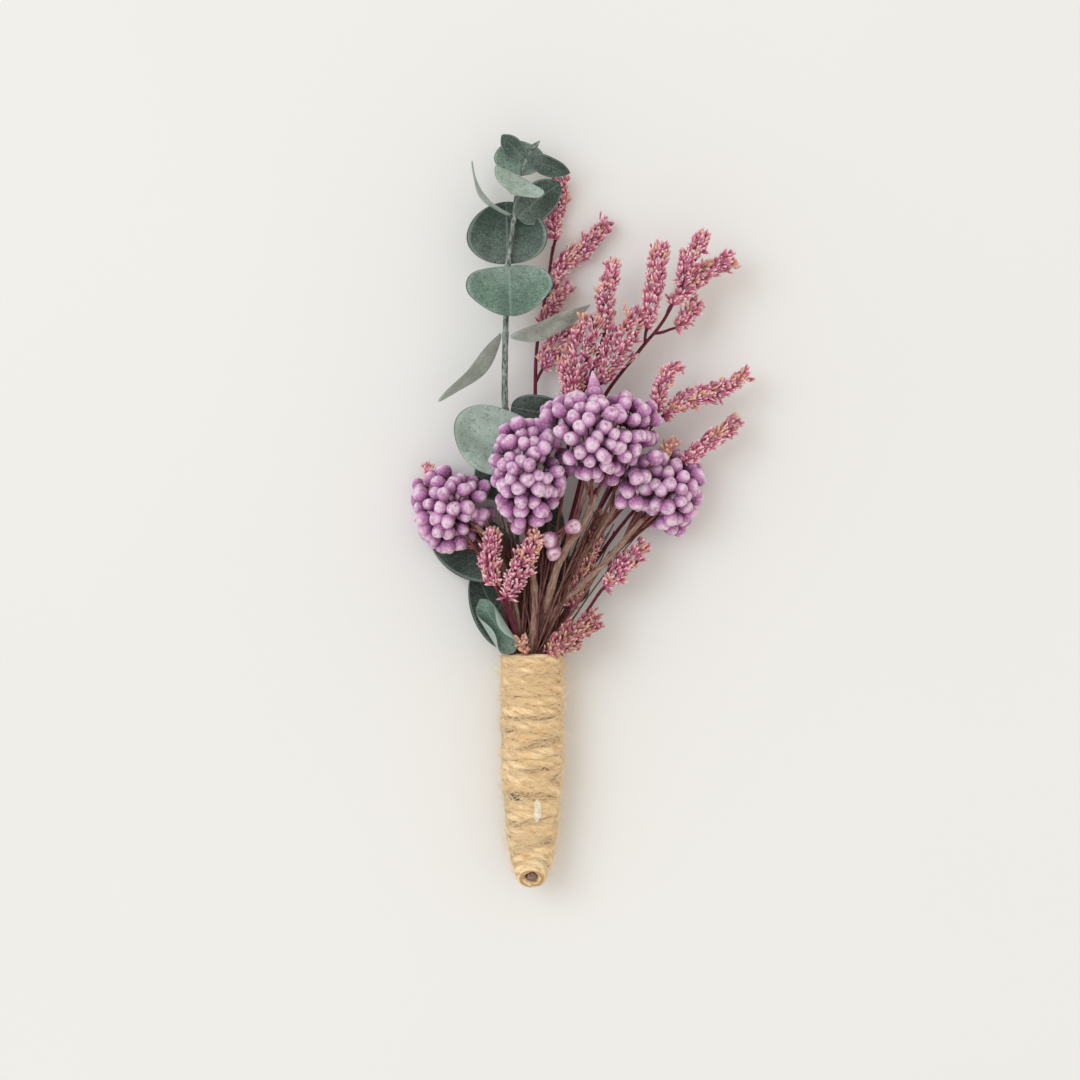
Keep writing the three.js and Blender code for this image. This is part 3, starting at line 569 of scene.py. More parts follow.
def leaf_finish(name, body, colours, bloom):
    """Eucalyptus leaf: a waxy bloom in specks and clouds, fine side veins, a paler midrib and a dark rim with
    a painted highlight inside it.
    """
    tree, close = new_finish(name, 0.62, Sheen_Weight=0.12, Specular_IOR_Level=0.3)
    place = object_place(tree)
    spot = known(tree, "leaf_place")
    split = tree.nodes.new("ShaderNodeSeparateXYZ")
    tree.links.new(spot, split.inputs[0])
    across, along, back = split.outputs
    side = maths(tree, "ABSOLUTE", across)
    clouds = noise(tree, place, 230.0, 3.0)
    specks = noise(tree, place, 2600.0, 4.0, (1, 1, 1), 0.75)
    pits = noise(tree, place, 1300.0, 3.0, (1, 1, 1), 0.7)
    shade = over(tree, dim(body, 0.7), dim(body, 1.08), clouds, 0.35, 0.7)
    dusty = between(tree, specks, 0.46, 0.64)
    dust = maths(tree, "MULTIPLY", dusty, between(tree, clouds, 0.3, 0.62, 0.25, 1.0))
    shade = mix(tree, maths(tree, "MULTIPLY", dust, bloom), shade, colours.bloom)
    shade = over(tree, shade, colours.bloom, along, 0.6, 0.0, 0.0, 0.6 * bloom)
    shade = over(tree, shade, dim(body, 0.42), pits, 0.48, 0.34, 0.0, 0.6)
    # side veins leave the midrib at an angle and curve towards the tip
    slope = maths(tree, "SUBTRACT", along, maths(tree, "MULTIPLY", side, 0.22))
    wave = maths(tree, "SINE", maths(tree, "MULTIPLY", slope, 62.0))
    veins = between(tree, wave, 0.86, 1.0)
    midrib = between(tree, side, 0.045, 0.01)
    shade = mix(tree, maths(tree, "MULTIPLY", veins, 0.05), shade, colours.bloom)
    shade = mix(tree, maths(tree, "MULTIPLY", midrib, 0.22), shade, colours.bloom)
    # a painted highlight runs pale along the edge, inside a thin dark line
    shade = over(tree, shade, colours.bloom, side, 0.86, 0.95, 0.0, 0.3)
    shade = over(tree, shade, dim(body, 0.42), side, 0.955, 0.985, 0.0, 0.75)
    shade = mix(tree, maths(tree, "MULTIPLY", back, 0.5), shade, colours.bloom)
    height = maths(tree, "ADD", maths(tree, "MULTIPLY", specks, 0.5), maths(tree, "MULTIPLY", veins, 0.4))
    return close(shade, height, 0.00006)


def bark_finish(name, body, ridge, streak=0.45):
    """Bark: long streaks that run with the stem, worn pale on the ridges."""
    tree, close = new_finish(name, 0.85, Specular_IOR_Level=0.2)
    place = known(tree, "straight")
    streaks = noise(tree, place, 5.0, 4.0, (1, 1, 0.12), 0.65)
    blotches = noise(tree, place, 0.9, 3.0)
    shade = mix(tree, between(tree, streaks, 0.32, 0.6), dim(body, streak), body)
    shade = over(tree, shade, ridge, streaks, 0.52, 0.72, 0.0, 0.8)
    shade = over(tree, shade, dim(body, 0.6), blotches, 0.5, 0.75, 0.0, 0.45)
    return close(shade, streaks, 0.0001)


def sprig_finish(colours):
    """Eucalyptus twig: dark bark under a broken pale bloom."""
    tree, close = new_finish("sprig_stem", 0.8, Specular_IOR_Level=0.25)
    place = known(tree, "straight")
    patches = noise(tree, place, 1.7, 4.0, (1, 1, 0.45), 0.7)
    fine = noise(tree, place, 9.0, 3.0, (1, 1, 0.5))
    shade = mix(tree, between(tree, fine, 0.35, 0.65), dim(colours.sprig, 0.6), colours.sprig)
    shade = over(tree, shade, colours.bloom, patches, 0.36, 0.66, 0.0, 0.75)
    return close(shade, fine, 0.00012)


def berry_finish(name, body, colours):
    """Felted berry: soft down, a painted highlight on its top, painted shade in its dimple and towards the
    stalk, and a deeper tone on some berries.
    """
    tree, close = new_finish(name, 0.98, Sheen_Weight=0.2, Sheen_Roughness=0.5, Specular_IOR_Level=0.15)
    place = known(tree, "straight")
    top = known(tree, "top", "Fac")
    tint = known(tree, "tint", "Fac")
    down = noise(tree, place, 2.0, 5.0, (1, 1, 1), 0.75)
    patches = noise(tree, place, 0.8, 2.0)
    # deep is the dark of the down's specks and the painted shade in the dimple
    deep = dim(colours.berry_shade, 0.62)
    # painted shade: darker from the top towards the stalk, where the berry faces into the head
    shade = mix(tree, between(tree, top, 0.25, 0.8), colours.berry_shade, body)
    shade = over(tree, shade, colours.berry_shade, tint, 0.0, 1.0, 0.0, 0.4)
    # painted highlight in patches on the top of the berry
    light = maths(tree, "MULTIPLY", between(tree, top, 0.66, 0.95), between(tree, patches, 0.25, 0.6))
    shade = mix(tree, maths(tree, "MULTIPLY", light, 0.85), shade, colours.berry_highlight_and_down)
    shade = over(tree, shade, colours.berry_highlight_and_down, down, 0.52, 0.68, 0.0, 0.55)
    shade = over(tree, shade, deep, down, 0.47, 0.34, 0.0, 0.55)
    # painted shade in the dimple at the top
    shade = over(tree, shade, deep, top, 0.975, 1.0, 0.0, 0.6)
    return close(shade, down, 0.00014)


def floret_finish(name, body, tip, colours):
    """Papery floret: deep at its base, pale at its mouth, some dried to cream, with fine ribs."""
    tree, close = new_finish(name, 0.85, Sheen_Weight=0.2, Specular_IOR_Level=0.2)
    place = known(tree, "straight")
    top = known(tree, "top", "Fac")
    tint = known(tree, "tint", "Fac")
    dry = known(tree, "dry", "Fac")
    ribs = noise(tree, place, 6.0, 2.0, (1, 1, 0.15))
    shade = mix(tree, between(tree, top, 0.0, 0.45), colours.floret_shade, body)
    shade = over(tree, shade, colours.floret_shade, tint, 0.2, 1.0, 0.0, 0.8)
    shade = over(tree, shade, colours.floret_dry, dry, 0.1, 0.9, 0.0, 0.5)
    pale = mix(tree, between(tree, dry, 0.1, 0.9, 0.0, 0.7), tip, colours.floret_dry)
    share = maths(tree, "MULTIPLY", between(tree, top, 0.5, 0.92), between(tree, tint, 1.0, 0.3, 0.25, 1.0))
    shade = mix(tree, share, shade, pale)
    shade = over(tree, shade, pale, ribs, 0.4, 0.7, 0.0, 0.35)
    return close(shade, ribs, 0.00004)


# ---------------------------------------------------------------- the handle

def around_handle(distance, ring, angle):
    """A place round the handle's middle line, which runs straight back and then curls up along an arc.

    The angle turns from right to the handle's upper side. On the arc, what was up leans back by the bend,
    which is the distance past the straight part divided by the arc's radius.
    """
    distance, ring, angle = np.broadcast_arrays(np.asarray(distance, float), ring, angle)
    straight = WRAP_LENGTH - TAIL_BEND
    bend_radius = TAIL_BEND / TAIL_TIP
    bend = np.maximum(0, distance - straight) / bend_radius
    up = ring * np.sin(angle)
    return np.stack([ring * np.cos(angle),
                     -np.minimum(distance, straight) - bend_radius * np.sin(bend) + up * np.sin(bend),
                     WRAP_RADIUS + bend_radius * (1 - np.cos(bend)) + up * np.cos(bend)], axis=-1)


def wrap_radius(distance):
    """The handle's radius at each distance back from the binding."""
    return WRAP_RADIUS * np.interp(np.asarray(distance) / WRAP_LENGTH, TAPER_SHARE, TAPER_RADIUS)


def wound_path(turns, steps, radius, tilt, seed, reach):
    """The twine's middle line: round the handle at an even pitch, each turn tilted and shifted a little.

    distance = pitch x turns + tilt x sin(angle + drift), where the tilt grows away from the binding.
    """
    t = np.linspace(0, 1, steps)
    angle = 2 * math.pi * turns * t + seed
    rise = np.clip((t - 0.14) / 0.16, 0, 1) * np.minimum(1, (1 - t) * 6)
    progress = np.clip((t * turns - 0.5) / (turns - 1.5), 0, 1)
    drift = 1.7 * np.sin(5.3 * t * math.pi + seed) + 0.9 * np.sin(13.1 * t * math.pi + 2 * seed)
    lean = tilt * rise * (0.7 + 0.5 * np.sin(9.1 * t * math.pi + seed))
    distance = radius + (reach - 1.8 * radius) * progress + lean * np.sin(angle + drift)
    return np.clip(distance, radius * 0.8, WRAP_LENGTH - radius * 0.8), angle


def winding(radius, turns, per_turn, sides, depth, tilt, seed, reach):
    """One layer of twine as a ring grid: three strands, pressed wide and flat against the handle.

    section = radius x swell x (1 + 0.11 cos 3(angle - twist) + small flaws), where the twist grows with
    the length of twine.
    """
    steps = int(turns * per_turn)
    distance, around = wound_path(turns, steps, radius, tilt, seed, reach)
    t = np.linspace(0, 1, steps)
    swell = 1 + 0.08 * np.sin(61 * t * math.pi + seed) + 0.06 * np.sin(157 * t * math.pi)
    lift = 0.16 * np.sin(37 * t * math.pi + seed) * np.clip(t * 6, 0, 1)
    level = wrap_radius(distance) - radius - depth + lift
    centre = around_handle(distance, level, around)
    out = unit(around_handle(distance, level + 1, around) - centre)
    axial = unit(np.cross(unit(np.gradient(centre, axis=0)), out))
    run = run_along(centre[None])[0]
    angle = round_angles(sides)
    twist = 2 * math.pi * run[:, None] / TWIST_LENGTH
    lobes = 1 + 0.11 * np.cos(3 * (angle - twist)) + 0.04 * np.sin(5 * angle + 1.9 * run[:, None])
    section = radius * swell[:, None] * lobes
    points = (centre[:, None] + (0.86 * section * np.cos(angle))[..., None] * out[:, None]
              + (1.22 * section * np.sin(angle))[..., None] * axial[:, None])
    straight = np.stack([section * np.cos(angle - twist), section * np.sin(angle - twist),
                         np.broadcast_to(run[:, None], section.shape)], axis=-1)
    # painted shade: the hollows between the strands, the sides pressed against the next turns and the whole
    # inner layer are marked to be darker
    pressed = np.abs(np.sin(angle)) ** 5
    groove = np.clip(np.maximum((1.06 - lobes) * 4, pressed) + depth, 0, 1)
    return points[None], {"straight": straight[None], "groove": groove[None]}


def stray_fibres(count):
    """Fibres that lie along the winding and over it; a few lift their ends off.

    level = handle's radius - 0.12 + small rise in the middle + 2.2 x looseness x t^2.
    """
    rng = np.random.default_rng(7)
    start = WRAP_LENGTH * rng.random(count)
    around = 2 * math.pi * rng.random(count)
    long = rng.uniform(2.0, 9.0, count)
    heading = rng.normal(0, 0.4, count) + math.pi * rng.integers(0, 2, count)
    loose = rng.random(count) ** 4
    t = np.linspace(0, 1, 7)[None]
    curl = rng.normal(0, 0.8, (2, count, 1)) * np.sin(math.pi * t)
    distance = start[:, None] + (long * np.sin(heading))[:, None] * t + curl[0]
    edge = WRAP_LENGTH - 0.3
    distance = np.where(distance > edge, 2 * edge - distance, np.abs(distance))
    level = (wrap_radius(distance) - 0.12 + 0.22 * rng.random((count, 1)) * np.sin(math.pi * t)
             + 2.2 * loose[:, None] * t ** 2)
    turned = around[:, None] + (long * np.cos(heading))[:, None] * t / level + 0.1 * curl[1]
    paths = around_handle(distance, level, turned)
    paths[..., 2] = np.maximum(paths[..., 2], FIBRE_HEIGHT)
    thickness = (0.025 + 0.03 * rng.random(count))[:, None, None] * (1 - 0.55 * t[..., None])
    points, straight = tubes(paths, thickness, 3)
    # the same mask gives some loose fibres, at random, a darker tone of their own
    shaded = np.broadcast_to((rng.random(count) ** 3)[:, None, None], points.shape[:3])
    return points, {"straight": straight, "groove": shaded}


class BUNCH_OT_twine(bpy.types.Operator):
    """Winds the jute twine round the stems, with its stray fibres"""
    bl_idname = "bunch.twine"
    bl_label = "Wind the twine"

    def execute(self, context):
        sizes, colours = context.scene.bunch_sizes, context.scene.bunch_colours
        finish = twine_finish(colours)
        radius = sizes.twine / MM / 2
        groups = [winding(radius, sizes.turns, *layer) for layer in TWINE_LAYERS]
        piece("twine_winding", groups, finish, "jute_twine", ["twine_wrap"])
        pale = twine_finish(colours, "jute_fibre", 0.8)
        fibres = piece("twine_fibres", [stray_fibres(sizes.hairs)], pale, "jute_twine")
        fibres.data.shade_flat()
        # a dab of dried glue between two turns, on the upper side
        steps, sides = 18, 16
        line = around_handle(np.linspace(*GLUE_REACH, steps), wrap_radius(31) - 0.1, GLUE_ANGLE)[None]
        t = shares_along(steps)
        turn = round_angles(sides)
        swell = 0.06 + 0.7 * np.sin(math.pi * t) ** 0.6 * (1 + 0.14 * np.sin(11 * t))
        lumps = 1 + 0.16 * np.cos(2 * turn) + 0.08 * np.sin(3 * turn + 5 * t)
        tube_piece("glue_dab", line, swell * lumps, sides, glue_finish(), "jute_twine")
        return {"FINISHED"}


# ---------------------------------------------------------------- stems

def stem_path(ring, angle, path, count, deep=STEM_DEPTH):
    """From its slot in the handle out through the layout points."""
    deep = WRAP_LENGTH + CUT_END if ring == 0 else deep
    inside = [around_handle(distance, ring, math.radians(angle)) for distance in np.linspace(deep, 0, 9)]
    return smooth_path([*inside, *path], count)


def ribbed(paths, start, end, sides, ribs, seed, knots=()):
    """Radius of a stem: it thins from start to end, with ribs and a swelling at each joint.

    radius = (start + (end - start) x share^2) x (1 + ribs + slow waves) + size x exp(-(distance / width)^2).
    """
    share = shares_along(paths.shape[1])
    angle = round_angles(sides)
    run = run_along(paths)[..., None]
    ridge = np.cos(ribs * angle + 0.35 * np.sin(run * 0.35 + seed))
    bark = 1 + 0.07 * ridge + 0.05 * np.sin(run * 0.9 + seed) * np.sin(2 * angle + seed + run * 0.23)
    radius = (start + (end - start) * share ** 2) * bark
    for place, size, width in knots:
        radius = radius + size * np.exp(-((run - place) / width) ** 2)
    return radius


class BUNCH_OT_woody_stems(bpy.types.Operator):
    """Grows the ribbed woody stems that carry the berry heads"""
    bl_idname = "bunch.woody_stems"
    bl_label = "Grow the woody stems"

    def execute(self, context):
        sizes, colours = context.scene.bunch_sizes, context.scene.bunch_colours
        finish = bark_finish("woody_stem", tuple(colours.wood), tuple(colours.wood_light))
        for seed, (name, (ring, angle, start, end, path)) in enumerate(WOODY_STEMS.items()):
            line = stem_path(ring, angle, path, 110)[None]
            total = run_along(line)[0, -1]
            knots = [(total * share, 0.16, 0.8) for share in (0.62, 0.74, 0.83, 0.91)]
            radius = ribbed(line, start, end, 18, 6, seed, knots)
            tube_piece(name.replace("rice", "woody"), line, radius, 18, finish, "woody_stem", [name])
        # thin side stalks that fill the bunch between and behind the woody stems
        rng = np.random.default_rng(5)
        count = sizes.tangle
        turn = rng.uniform(0, 2 * math.pi, count)
        begin = around_handle(np.full(count, 1.0), rng.uniform(1.5, 4.0, count), turn)
        reach = rng.uniform(0.6, 1.0, count)
        side = rng.uniform(-0.42, 0.62, count) + 0.1 * np.cos(turn)
        end = np.stack([34 * reach * np.sin(side), 33 * reach * np.cos(side),
                        rng.uniform(5.5, 13.5, count)], axis=-1)
        paths = stalk_paths(begin, end, rng.normal(0, 1.3, (count, 3)) * (1, 0.4, 1), 16)
        t = shares_along(16)
        thickness = rng.uniform(0.16, 0.34, (count, 1, 1)) * (1.15 - 0.5 * t)
        bark = bark_finish("stalk_bark_back", linear("#7d524c"), linear("#b98a7d"))
        tube_piece("side_stalks", paths, thickness, 6, bark, "woody_stem")
        return {"FINISHED"}


class BUNCH_OT_sprig(bpy.types.Operator):
    """Grows the eucalyptus twig, swollen at each pair of leaves, and the bud at its tip"""
    bl_idname = "bunch.sprig"
    bl_label = "Grow the sprig"

    def execute(self, context):
        colours = context.scene.bunch_colours
        ring, angle, start, end, path = SPRIG_STEM
        line = stem_path(ring, angle, path, 220)[None]
        run = run_along(line)[0]
        joints = [(float(np.interp(y, line[0, :, 1], run)), 0.26 - 0.0015 * y, 0.6) for y in SPRIG_JOINTS]
        radius = ribbed(line, start, end, 14, 4, 3, joints)
        tube_piece("sprig_twig", line, radius, 14, sprig_finish(colours), "sprig_stem", ["eucalyptus_stem"])
        steps, sides = 20, 16
        line = smooth_path(SPRIG_BUD, steps)[None]
        share = shares_along(steps)
        radius = 0.3 * (1 - share) + 0.05 + 0.55 * np.sin(math.pi * share ** 0.8) ** 0.9
        turn = round_angles(sides)
        radius = radius * (1 + 0.12 * np.cos(2 * turn))
        tube_piece("sprig_bud", line, radius, sides, sprig_finish(colours), "leaf_dark", ["eucalyptus_bud"])
        return {"FINISHED"}


class BUNCH_OT_spray_stems(bpy.types.Operator):
    """Grows the thin maroon stems of the sea lavender"""
    bl_idname = "bunch.spray_stems"
    bl_label = "Grow the spray stems"

    def execute(self, context):
        colours = context.scene.bunch_colours
        body = tuple(colours.spray)
        finish = bark_finish("spray_stem", body, dim(body, 2.4), 0.6)
        for number, (angle, path) in SPRAY_STEMS.items():
            line = stem_path(OUTER_RING, angle, path, 90, SPRAY_DEPTH)[None]
            radius = ribbed(line, SPRAY_RADIUS, 0.3, 10, 3, number)
            node = f"limonium_{number}_stem"
            tube_piece(f"spray_stem_{number}", line, radius, 10, finish, "spray_stem", [node])
        return {"FINISHED"}


# ---------------------------------------------------------------- leaves

def leaf_surface(base, tip, width, roll, cup, bow, taper, thickness, seed):
    """A leaf grown from base to tip, rolled across its midrib like part of a tube.

    point = base + along x run + side x (bend - lift) x sin(turn)
            + face x (bow + lift + (bend - lift) x (1 - cos turn) + ripple),
    where turn = place across x outline / bend and outline = half width x sin(pi run^0.8)^taper.
    """
    base, tip = np.array(base, float), np.array(tip, float)
    long = np.linalg.norm(tip - base)
    along = (tip - base) / long
    level = unit(np.cross(along, (0, 0, 1)))
    turn = math.radians(roll)
    side = level * math.cos(turn) + np.cross(along, level) * math.sin(turn)
    face = np.cross(side, along)
    half = width / 2
    bend = half / math.radians(cup)
    rows, columns = 40, 21
    share = ((1 - np.cos(np.linspace(0, math.pi, rows + 2)[1:-1])) / 2)[:, None]
    front = np.sin(np.linspace(-math.pi / 2, math.pi / 2, columns))
    across = np.concatenate([front, front[-2:0:-1]])[None]
    sheet = np.concatenate([np.ones(columns), -np.ones(columns - 2)])[None]
    outline = half * np.sin(math.pi * share ** 0.8) ** taper
    body = thickness / 2 * np.sqrt(np.clip(1 - across ** 2, 0, 1)) ** 0.7
    rib = np.exp(-(across * outline / 0.45) ** 2) * (1 - share * 0.8)
    lift = sheet * body + np.where(sheet > 0, -0.12, -0.22) * rib
    ripple = (0.05 * half * np.abs(across) ** 3
              * np.sin(2 * math.pi * (1.6 * share + 0.37 * seed) + np.sign(across) * (1 + seed)))
    swing = across * outline / bend
    arch = bow * long * 4 * share * (1 - share)
    points = (base + along * (share * long)[..., None]
              + side * ((bend - lift) * np.sin(swing))[..., None]
              + face * (arch + lift + (bend - lift) * (1 - np.cos(swing)) + ripple)[..., None])
    place = np.stack(np.broadcast_arrays(across, share, sheet < 0), axis=-1).astype(float)
    # the front sheet is on the face side, so the ring turns from side to side over the face
    return points[:, ::-1][None], {"leaf_place": place[:, ::-1][None]}


class BUNCH_OT_leaves(bpy.types.Operator):
    """Grows the pairs of eucalyptus leaves"""
    bl_idname = "bunch.leaves"
    bl_label = "Grow the leaves"

    def execute(self, context):
        sizes, colours = context.scene.bunch_sizes, context.scene.bunch_colours
        finishes = {kind: leaf_finish(kind, tuple(getattr(colours, kind)), colours, bloom)
                    for kind, bloom in LEAF_BLOOM.items()}
        slots = {"leaf_shade": "leaf_dark", "leaf_grey": "leaf_light"}
        for seed, (name, (*shape, kind)) in enumerate(LEAVES.items()):
            group = leaf_surface(*shape, sizes.leaf / MM, seed)
            piece(f"leaf_{name}", [group], finishes[kind], slots.get(kind, kind), [f"eucalyptus_leaf_{name}"])
        return {"FINISHED"}


# ---------------------------------------------------------------- berries

def turned_to(facing):
    """Rotation that takes straight up to the given direction by the shortest way."""
    facing = unit(np.array(facing, float))
    axis = np.cross((0, 0, 1), facing)
    x, y, z = axis
    skew = np.array([[0, -z, y], [z, 0, -x], [-y, x, 0]])
    return np.eye(3) + skew + skew @ skew / (1 + facing[2])


def dome(centre, radii, facing, count, seed, rests):
    """Berry centres by the golden angle over a dome, and their radii, as the frame has them.

    centre = middle + radii x (1 + lobes round the dome) x (1 + scatter) x direction, where the height of
    the direction falls evenly from the dome's top to its edge.
    """
    i = np.arange(count)
    height = 1 - (1 - DOME_EDGE) * (i + scatter(seed + i + 900)) / count
    reach = np.sqrt(1 - height ** 2)
    angle = i * GOLDEN_ANGLE + TURN_SCATTER * (scatter(seed + i + 700) - 0.5)
    lobe = 1 + HEAD_LOBES * reach * np.sin(3 * angle + seed)
    push = lobe * (1 + HEAD_SCATTER * (scatter(seed + i) - 0.5))
    direction = np.stack([reach * np.cos(angle), reach * np.sin(angle), height], axis=-1)
    direction = direction @ turned_to(facing).T
    centres = direction * push[:, None] * np.array(radii) + np.array(centre)
    radius = BERRY_RADIUS * (1 + BERRY_SCATTER * (2 * scatter(seed + i + 500) - 1))
    drop = (centres[:, 2] - radius).min() if rests else 0.0
    return centres - (0, 0, drop), radius, drop


def berry_balls(centres, radii, outward, seed):
    """Berries: radius = size x (1 - dimple at the outer end + low lumps round and along)."""
    count, sides = len(centres), 12
    slant = np.array([2.92, 2.5, 2.05, 1.57, 1.1, 0.66, 0.26])[None, :, None]
    angle = round_angles(sides)[None, None]
    one = scatter(seed + np.arange(count) * 3.1)[:, None, None]
    two = scatter(seed + np.arange(count) * 5.7 + 9)[:, None, None]
    lumps = 0.05 * np.sin(slant) * np.cos(3 * angle + 6.3 * one) + 0.04 * np.cos(2 * slant + 6.3 * two)
    size = radii[:, None, None] * (1 + lumps + 0.06 * np.sin(2 * angle + 9 * two) * np.sin(slant)
                                   - 0.10 * np.exp(-(slant / 0.45) ** 2))
    up, normal, binormal = square_to(outward)
    local = np.stack(np.broadcast_arrays(np.sin(slant) * np.cos(angle), np.sin(slant) * np.sin(angle),
                                         1.12 * np.cos(slant) + 0 * angle), axis=-1)
    spin = local[..., :1] * normal + local[..., 1:2] * binormal + local[..., 2:] * up
    points = centres[:, None, None] + size[..., None] * spin
    straight = size[..., None] * local + 30 * np.stack([one, two, one * two], axis=-1)
    # the top fact drives painted shade towards the stalk and a painted highlight on the outer end
    top = np.broadcast_to((1 + np.cos(slant)) / 2, size.shape)
    return points, {"straight": straight, "top": top, "tint": np.broadcast_to(one, size.shape)}


def stalk_paths(starts, ends, lean, steps):
    """Stalks that leave along one direction and bend to their end: start + lean x 2t(1 - t) + chord x t."""
    t = shares_along(steps)
    return starts[:, None] * (1 - t) + ends[:, None] * t + lean[:, None] * (2 * t * (1 - t))


def woody_line(name, count):
    """The middle line of one of the woody stems."""
    ring, angle, _, _, path = WOODY_STEMS[name]
    return stem_path(ring, angle, path, count)


def share_out(centres, out, middle, carrier, seed):
    """Shares the berries out between forks, by their direction round the head.

    The last fork goes to the berries that face away from the stem. Returns each berry's fork, and
    where each fork begins on the stem and ends among its berries.
    """
    root, last = carrier[-1], FORKS_IN_HEAD - 1
    lead = unit(middle - root + 1e-6)
    sidewise = unit(np.cross(lead, (0, 0, 1)))
    upward = np.cross(sidewise, lead)
    place_round = np.arctan2(out @ upward, out @ sidewise)
    fork_of = np.floor((place_round / (2 * math.pi) + 0.5) * last).astype(int) % last
    fork_of[(out @ lead) > 0.75] = last
    begin = np.tile(root, (FORKS_IN_HEAD, 1))
    end = np.tile(root + lead, (FORKS_IN_HEAD, 1))
    for fork in np.unique(fork_of):
        begin[fork] = carrier[int(len(carrier) * (0.66 + 0.33 * scatter(seed + fork)))]
        end[fork] = root * 0.35 + middle * 0.15 + centres[fork_of == fork].mean(axis=0) * 0.5
    return fork_of, begin, end


def head_parts(centres, radius, middle, radii, carrier, stalk, seed, rng):
    """One head: its outer and inner berries, then its forks and the twig to each berry."""
    out = unit((centres - middle) / np.array(radii))
    fork_of, begin, end = share_out(centres, out, middle, carrier, seed)
    forks = stalk_paths(begin, end, rng.normal(0, 0.9, (FORKS_IN_HEAD, 3)), 12)
    t = shares_along(12)
    fork_points, fork_straight = tubes(forks, stalk * (1.9 - 0.6 * t), 6)
    toward = unit(centres - end[fork_of])
    inside = centres - toward * (radius * 0.8)[:, None]
    twigs = stalk_paths(end[fork_of], inside, rng.normal(0, 0.45, (len(centres), 3)), 8)
    t = shares_along(8)
    twig_points, twig_straight = tubes(twigs, stalk * (1 - 0.2 * t), 5)
    balls = berry_balls(centres, radius, out * 0.75 + toward * 0.25, seed)
    # the inner layer of berries shows between the outer ones
    inner = middle + (centres[::2] - middle) * 0.62
    inner_out = unit((inner - middle) / np.array(radii))
    inner_balls = berry_balls(inner, radius[::2] * 0.95, inner_out, seed + 60)
    return [balls, inner_balls], [(fork_points, {"straight": fork_straight}),
                                  (twig_points, {"straight": twig_straight})]


class BUNCH_OT_heads(bpy.types.Operator):
    """Grows the heads of berries on their forked stalks"""
    bl_idname = "bunch.heads"
    bl_label = "Grow the berry heads"

    def execute(self, context):
        sizes, colours = context.scene.bunch_sizes, context.scene.bunch_colours
        felt = berry_finish("berry", tuple(colours.berry), colours)
        bark = bark_finish("stalk_bark", linear("#7d4a47"), linear("#a97a6e"))
        rng = np.random.default_rng(19)
        placed, placed_radius = np.zeros((0, 3)), np.zeros(0)
        for name, (centre, radii, facing, count, seed, rests, carrier) in HEADS.items():
            centres, radius, drop = dome(centre, radii, facing, count, seed, rests)
            # a berry that would run into another head's is left out
            gap = np.linalg.norm(centres[:, None] - placed[None], axis=-1)
            clear = (gap > radius[:, None] + placed_radius[None] + CLEARANCE).all(axis=1)
            centres, radius = centres[clear], radius[clear]
            placed, placed_radius = np.vstack([placed, centres]), np.append(placed_radius, radius)
            middle = np.array(centre) - (0, 0, drop)
            balls, stalks = head_parts(centres, radius, middle, radii, woody_line(carrier, 60),
                                       sizes.stalk / MM / 2, seed, rng)
            piece(name.replace("rice_head", "berries"), balls, felt, "berry", [name])
            piece(name.replace("rice_head", "stalks"), stalks, bark, "woody_stem")
        # the pointed bud that stands out of the top head
        steps, sides = 16, 12
        t = shares_along(steps)
        turn = round_angles(sides)
        radius = 0.06 + 1.9 * (1 - t) ** 0.8 * (1 + 0.1 * np.cos(3 * turn + t))
        points, straight = tubes(smooth_path(HEAD_BUD, steps)[None], radius, sides)
        # through the top fact: painted shade towards the bud's foot and a painted highlight near its point
        tip = np.broadcast_to(0.45 + 0.5 * t, points.shape[:3])
        piece("head_bud", [(points, {"straight": straight, "top": tip, "tint": 0 * tip})], felt, "berry")
        # the redder berries that hang low, on one forked stalk
        red = berry_finish("low_berry", tuple(colours.low_berry), colours)
        centres, facing = np.array(LOW_BERRIES, float), np.array(LOW_FACING, float)
        balls = berry_balls(centres, np.full(len(centres), LOW_BERRY_RADIUS), facing, 77)
        piece("berries_low", [balls], red, "berry", ["rice_berries_low"])
        root = woody_line("rice_stem_main", 100)[LOW_START]
        paths = np.stack([smooth_path([root, LOW_FORK, centre], 16) for centre in LOW_BERRIES])
        tube_piece("stalk_low", paths, 0.25, 6, bark, "woody_stem")
        return {"FINISHED"}


# ---------------------------------------------------------------- florets

def floret_cups(bases, directions, sizes, widths, seed, dry):
    """Florets: a slim tube that swells towards its mouth and closes in a point of folded petals.

    point = base + forward x size x run + (cos turn x normal + sin turn x binormal) x width / 2 x flare.
    """
    count, sides = len(bases), 5
    run = np.array([0, 0.28, 0.62, 0.88, 1.0])[None, :, None]
    flare = np.array([0.35, 0.8, 1.0, 0.7, 0.12])[None, :, None]
    angle = round_angles(sides)[None, None]
    one = scatter(seed + np.arange(count) * 2.3)[:, None, None]
    radius = widths[:, None, None] / 2 * flare * np.ones_like(angle)
    forward, normal, binormal = square_to(directions)
    turn = angle + 6.3 * one
    points = (bases[:, None, None] + forward * (sizes[:, None, None] * run)[..., None]
              + normal * (radius * np.cos(turn))[..., None] + binormal * (radius * np.sin(turn))[..., None])
    straight = np.stack(np.broadcast_arrays(radius * np.cos(angle), radius * np.sin(angle),
                                            sizes[:, None, None] * run + 30 * one), axis=-1)
    facts = {"straight": straight, "top": np.broadcast_to(run, radius.shape),
             "tint": np.broadcast_to(one, radius.shape),
             "dry": np.broadcast_to(dry[:, None, None], radius.shape)}
    return points, facts


def stem_root(name, foot):
    """The point on a spike's own stem from which its stalk grows."""
    number = int(name.split("_")[1])
    if number not in SPRAY_STEMS:
        return []
    angle, path = SPRAY_STEMS[number]
    line = stem_path(OUTER_RING, angle, path, 120, SPRAY_DEPTH)
    near = int(np.argmin(np.linalg.norm(line - foot, axis=1)))
    return [line[max(0, near - 2)]]


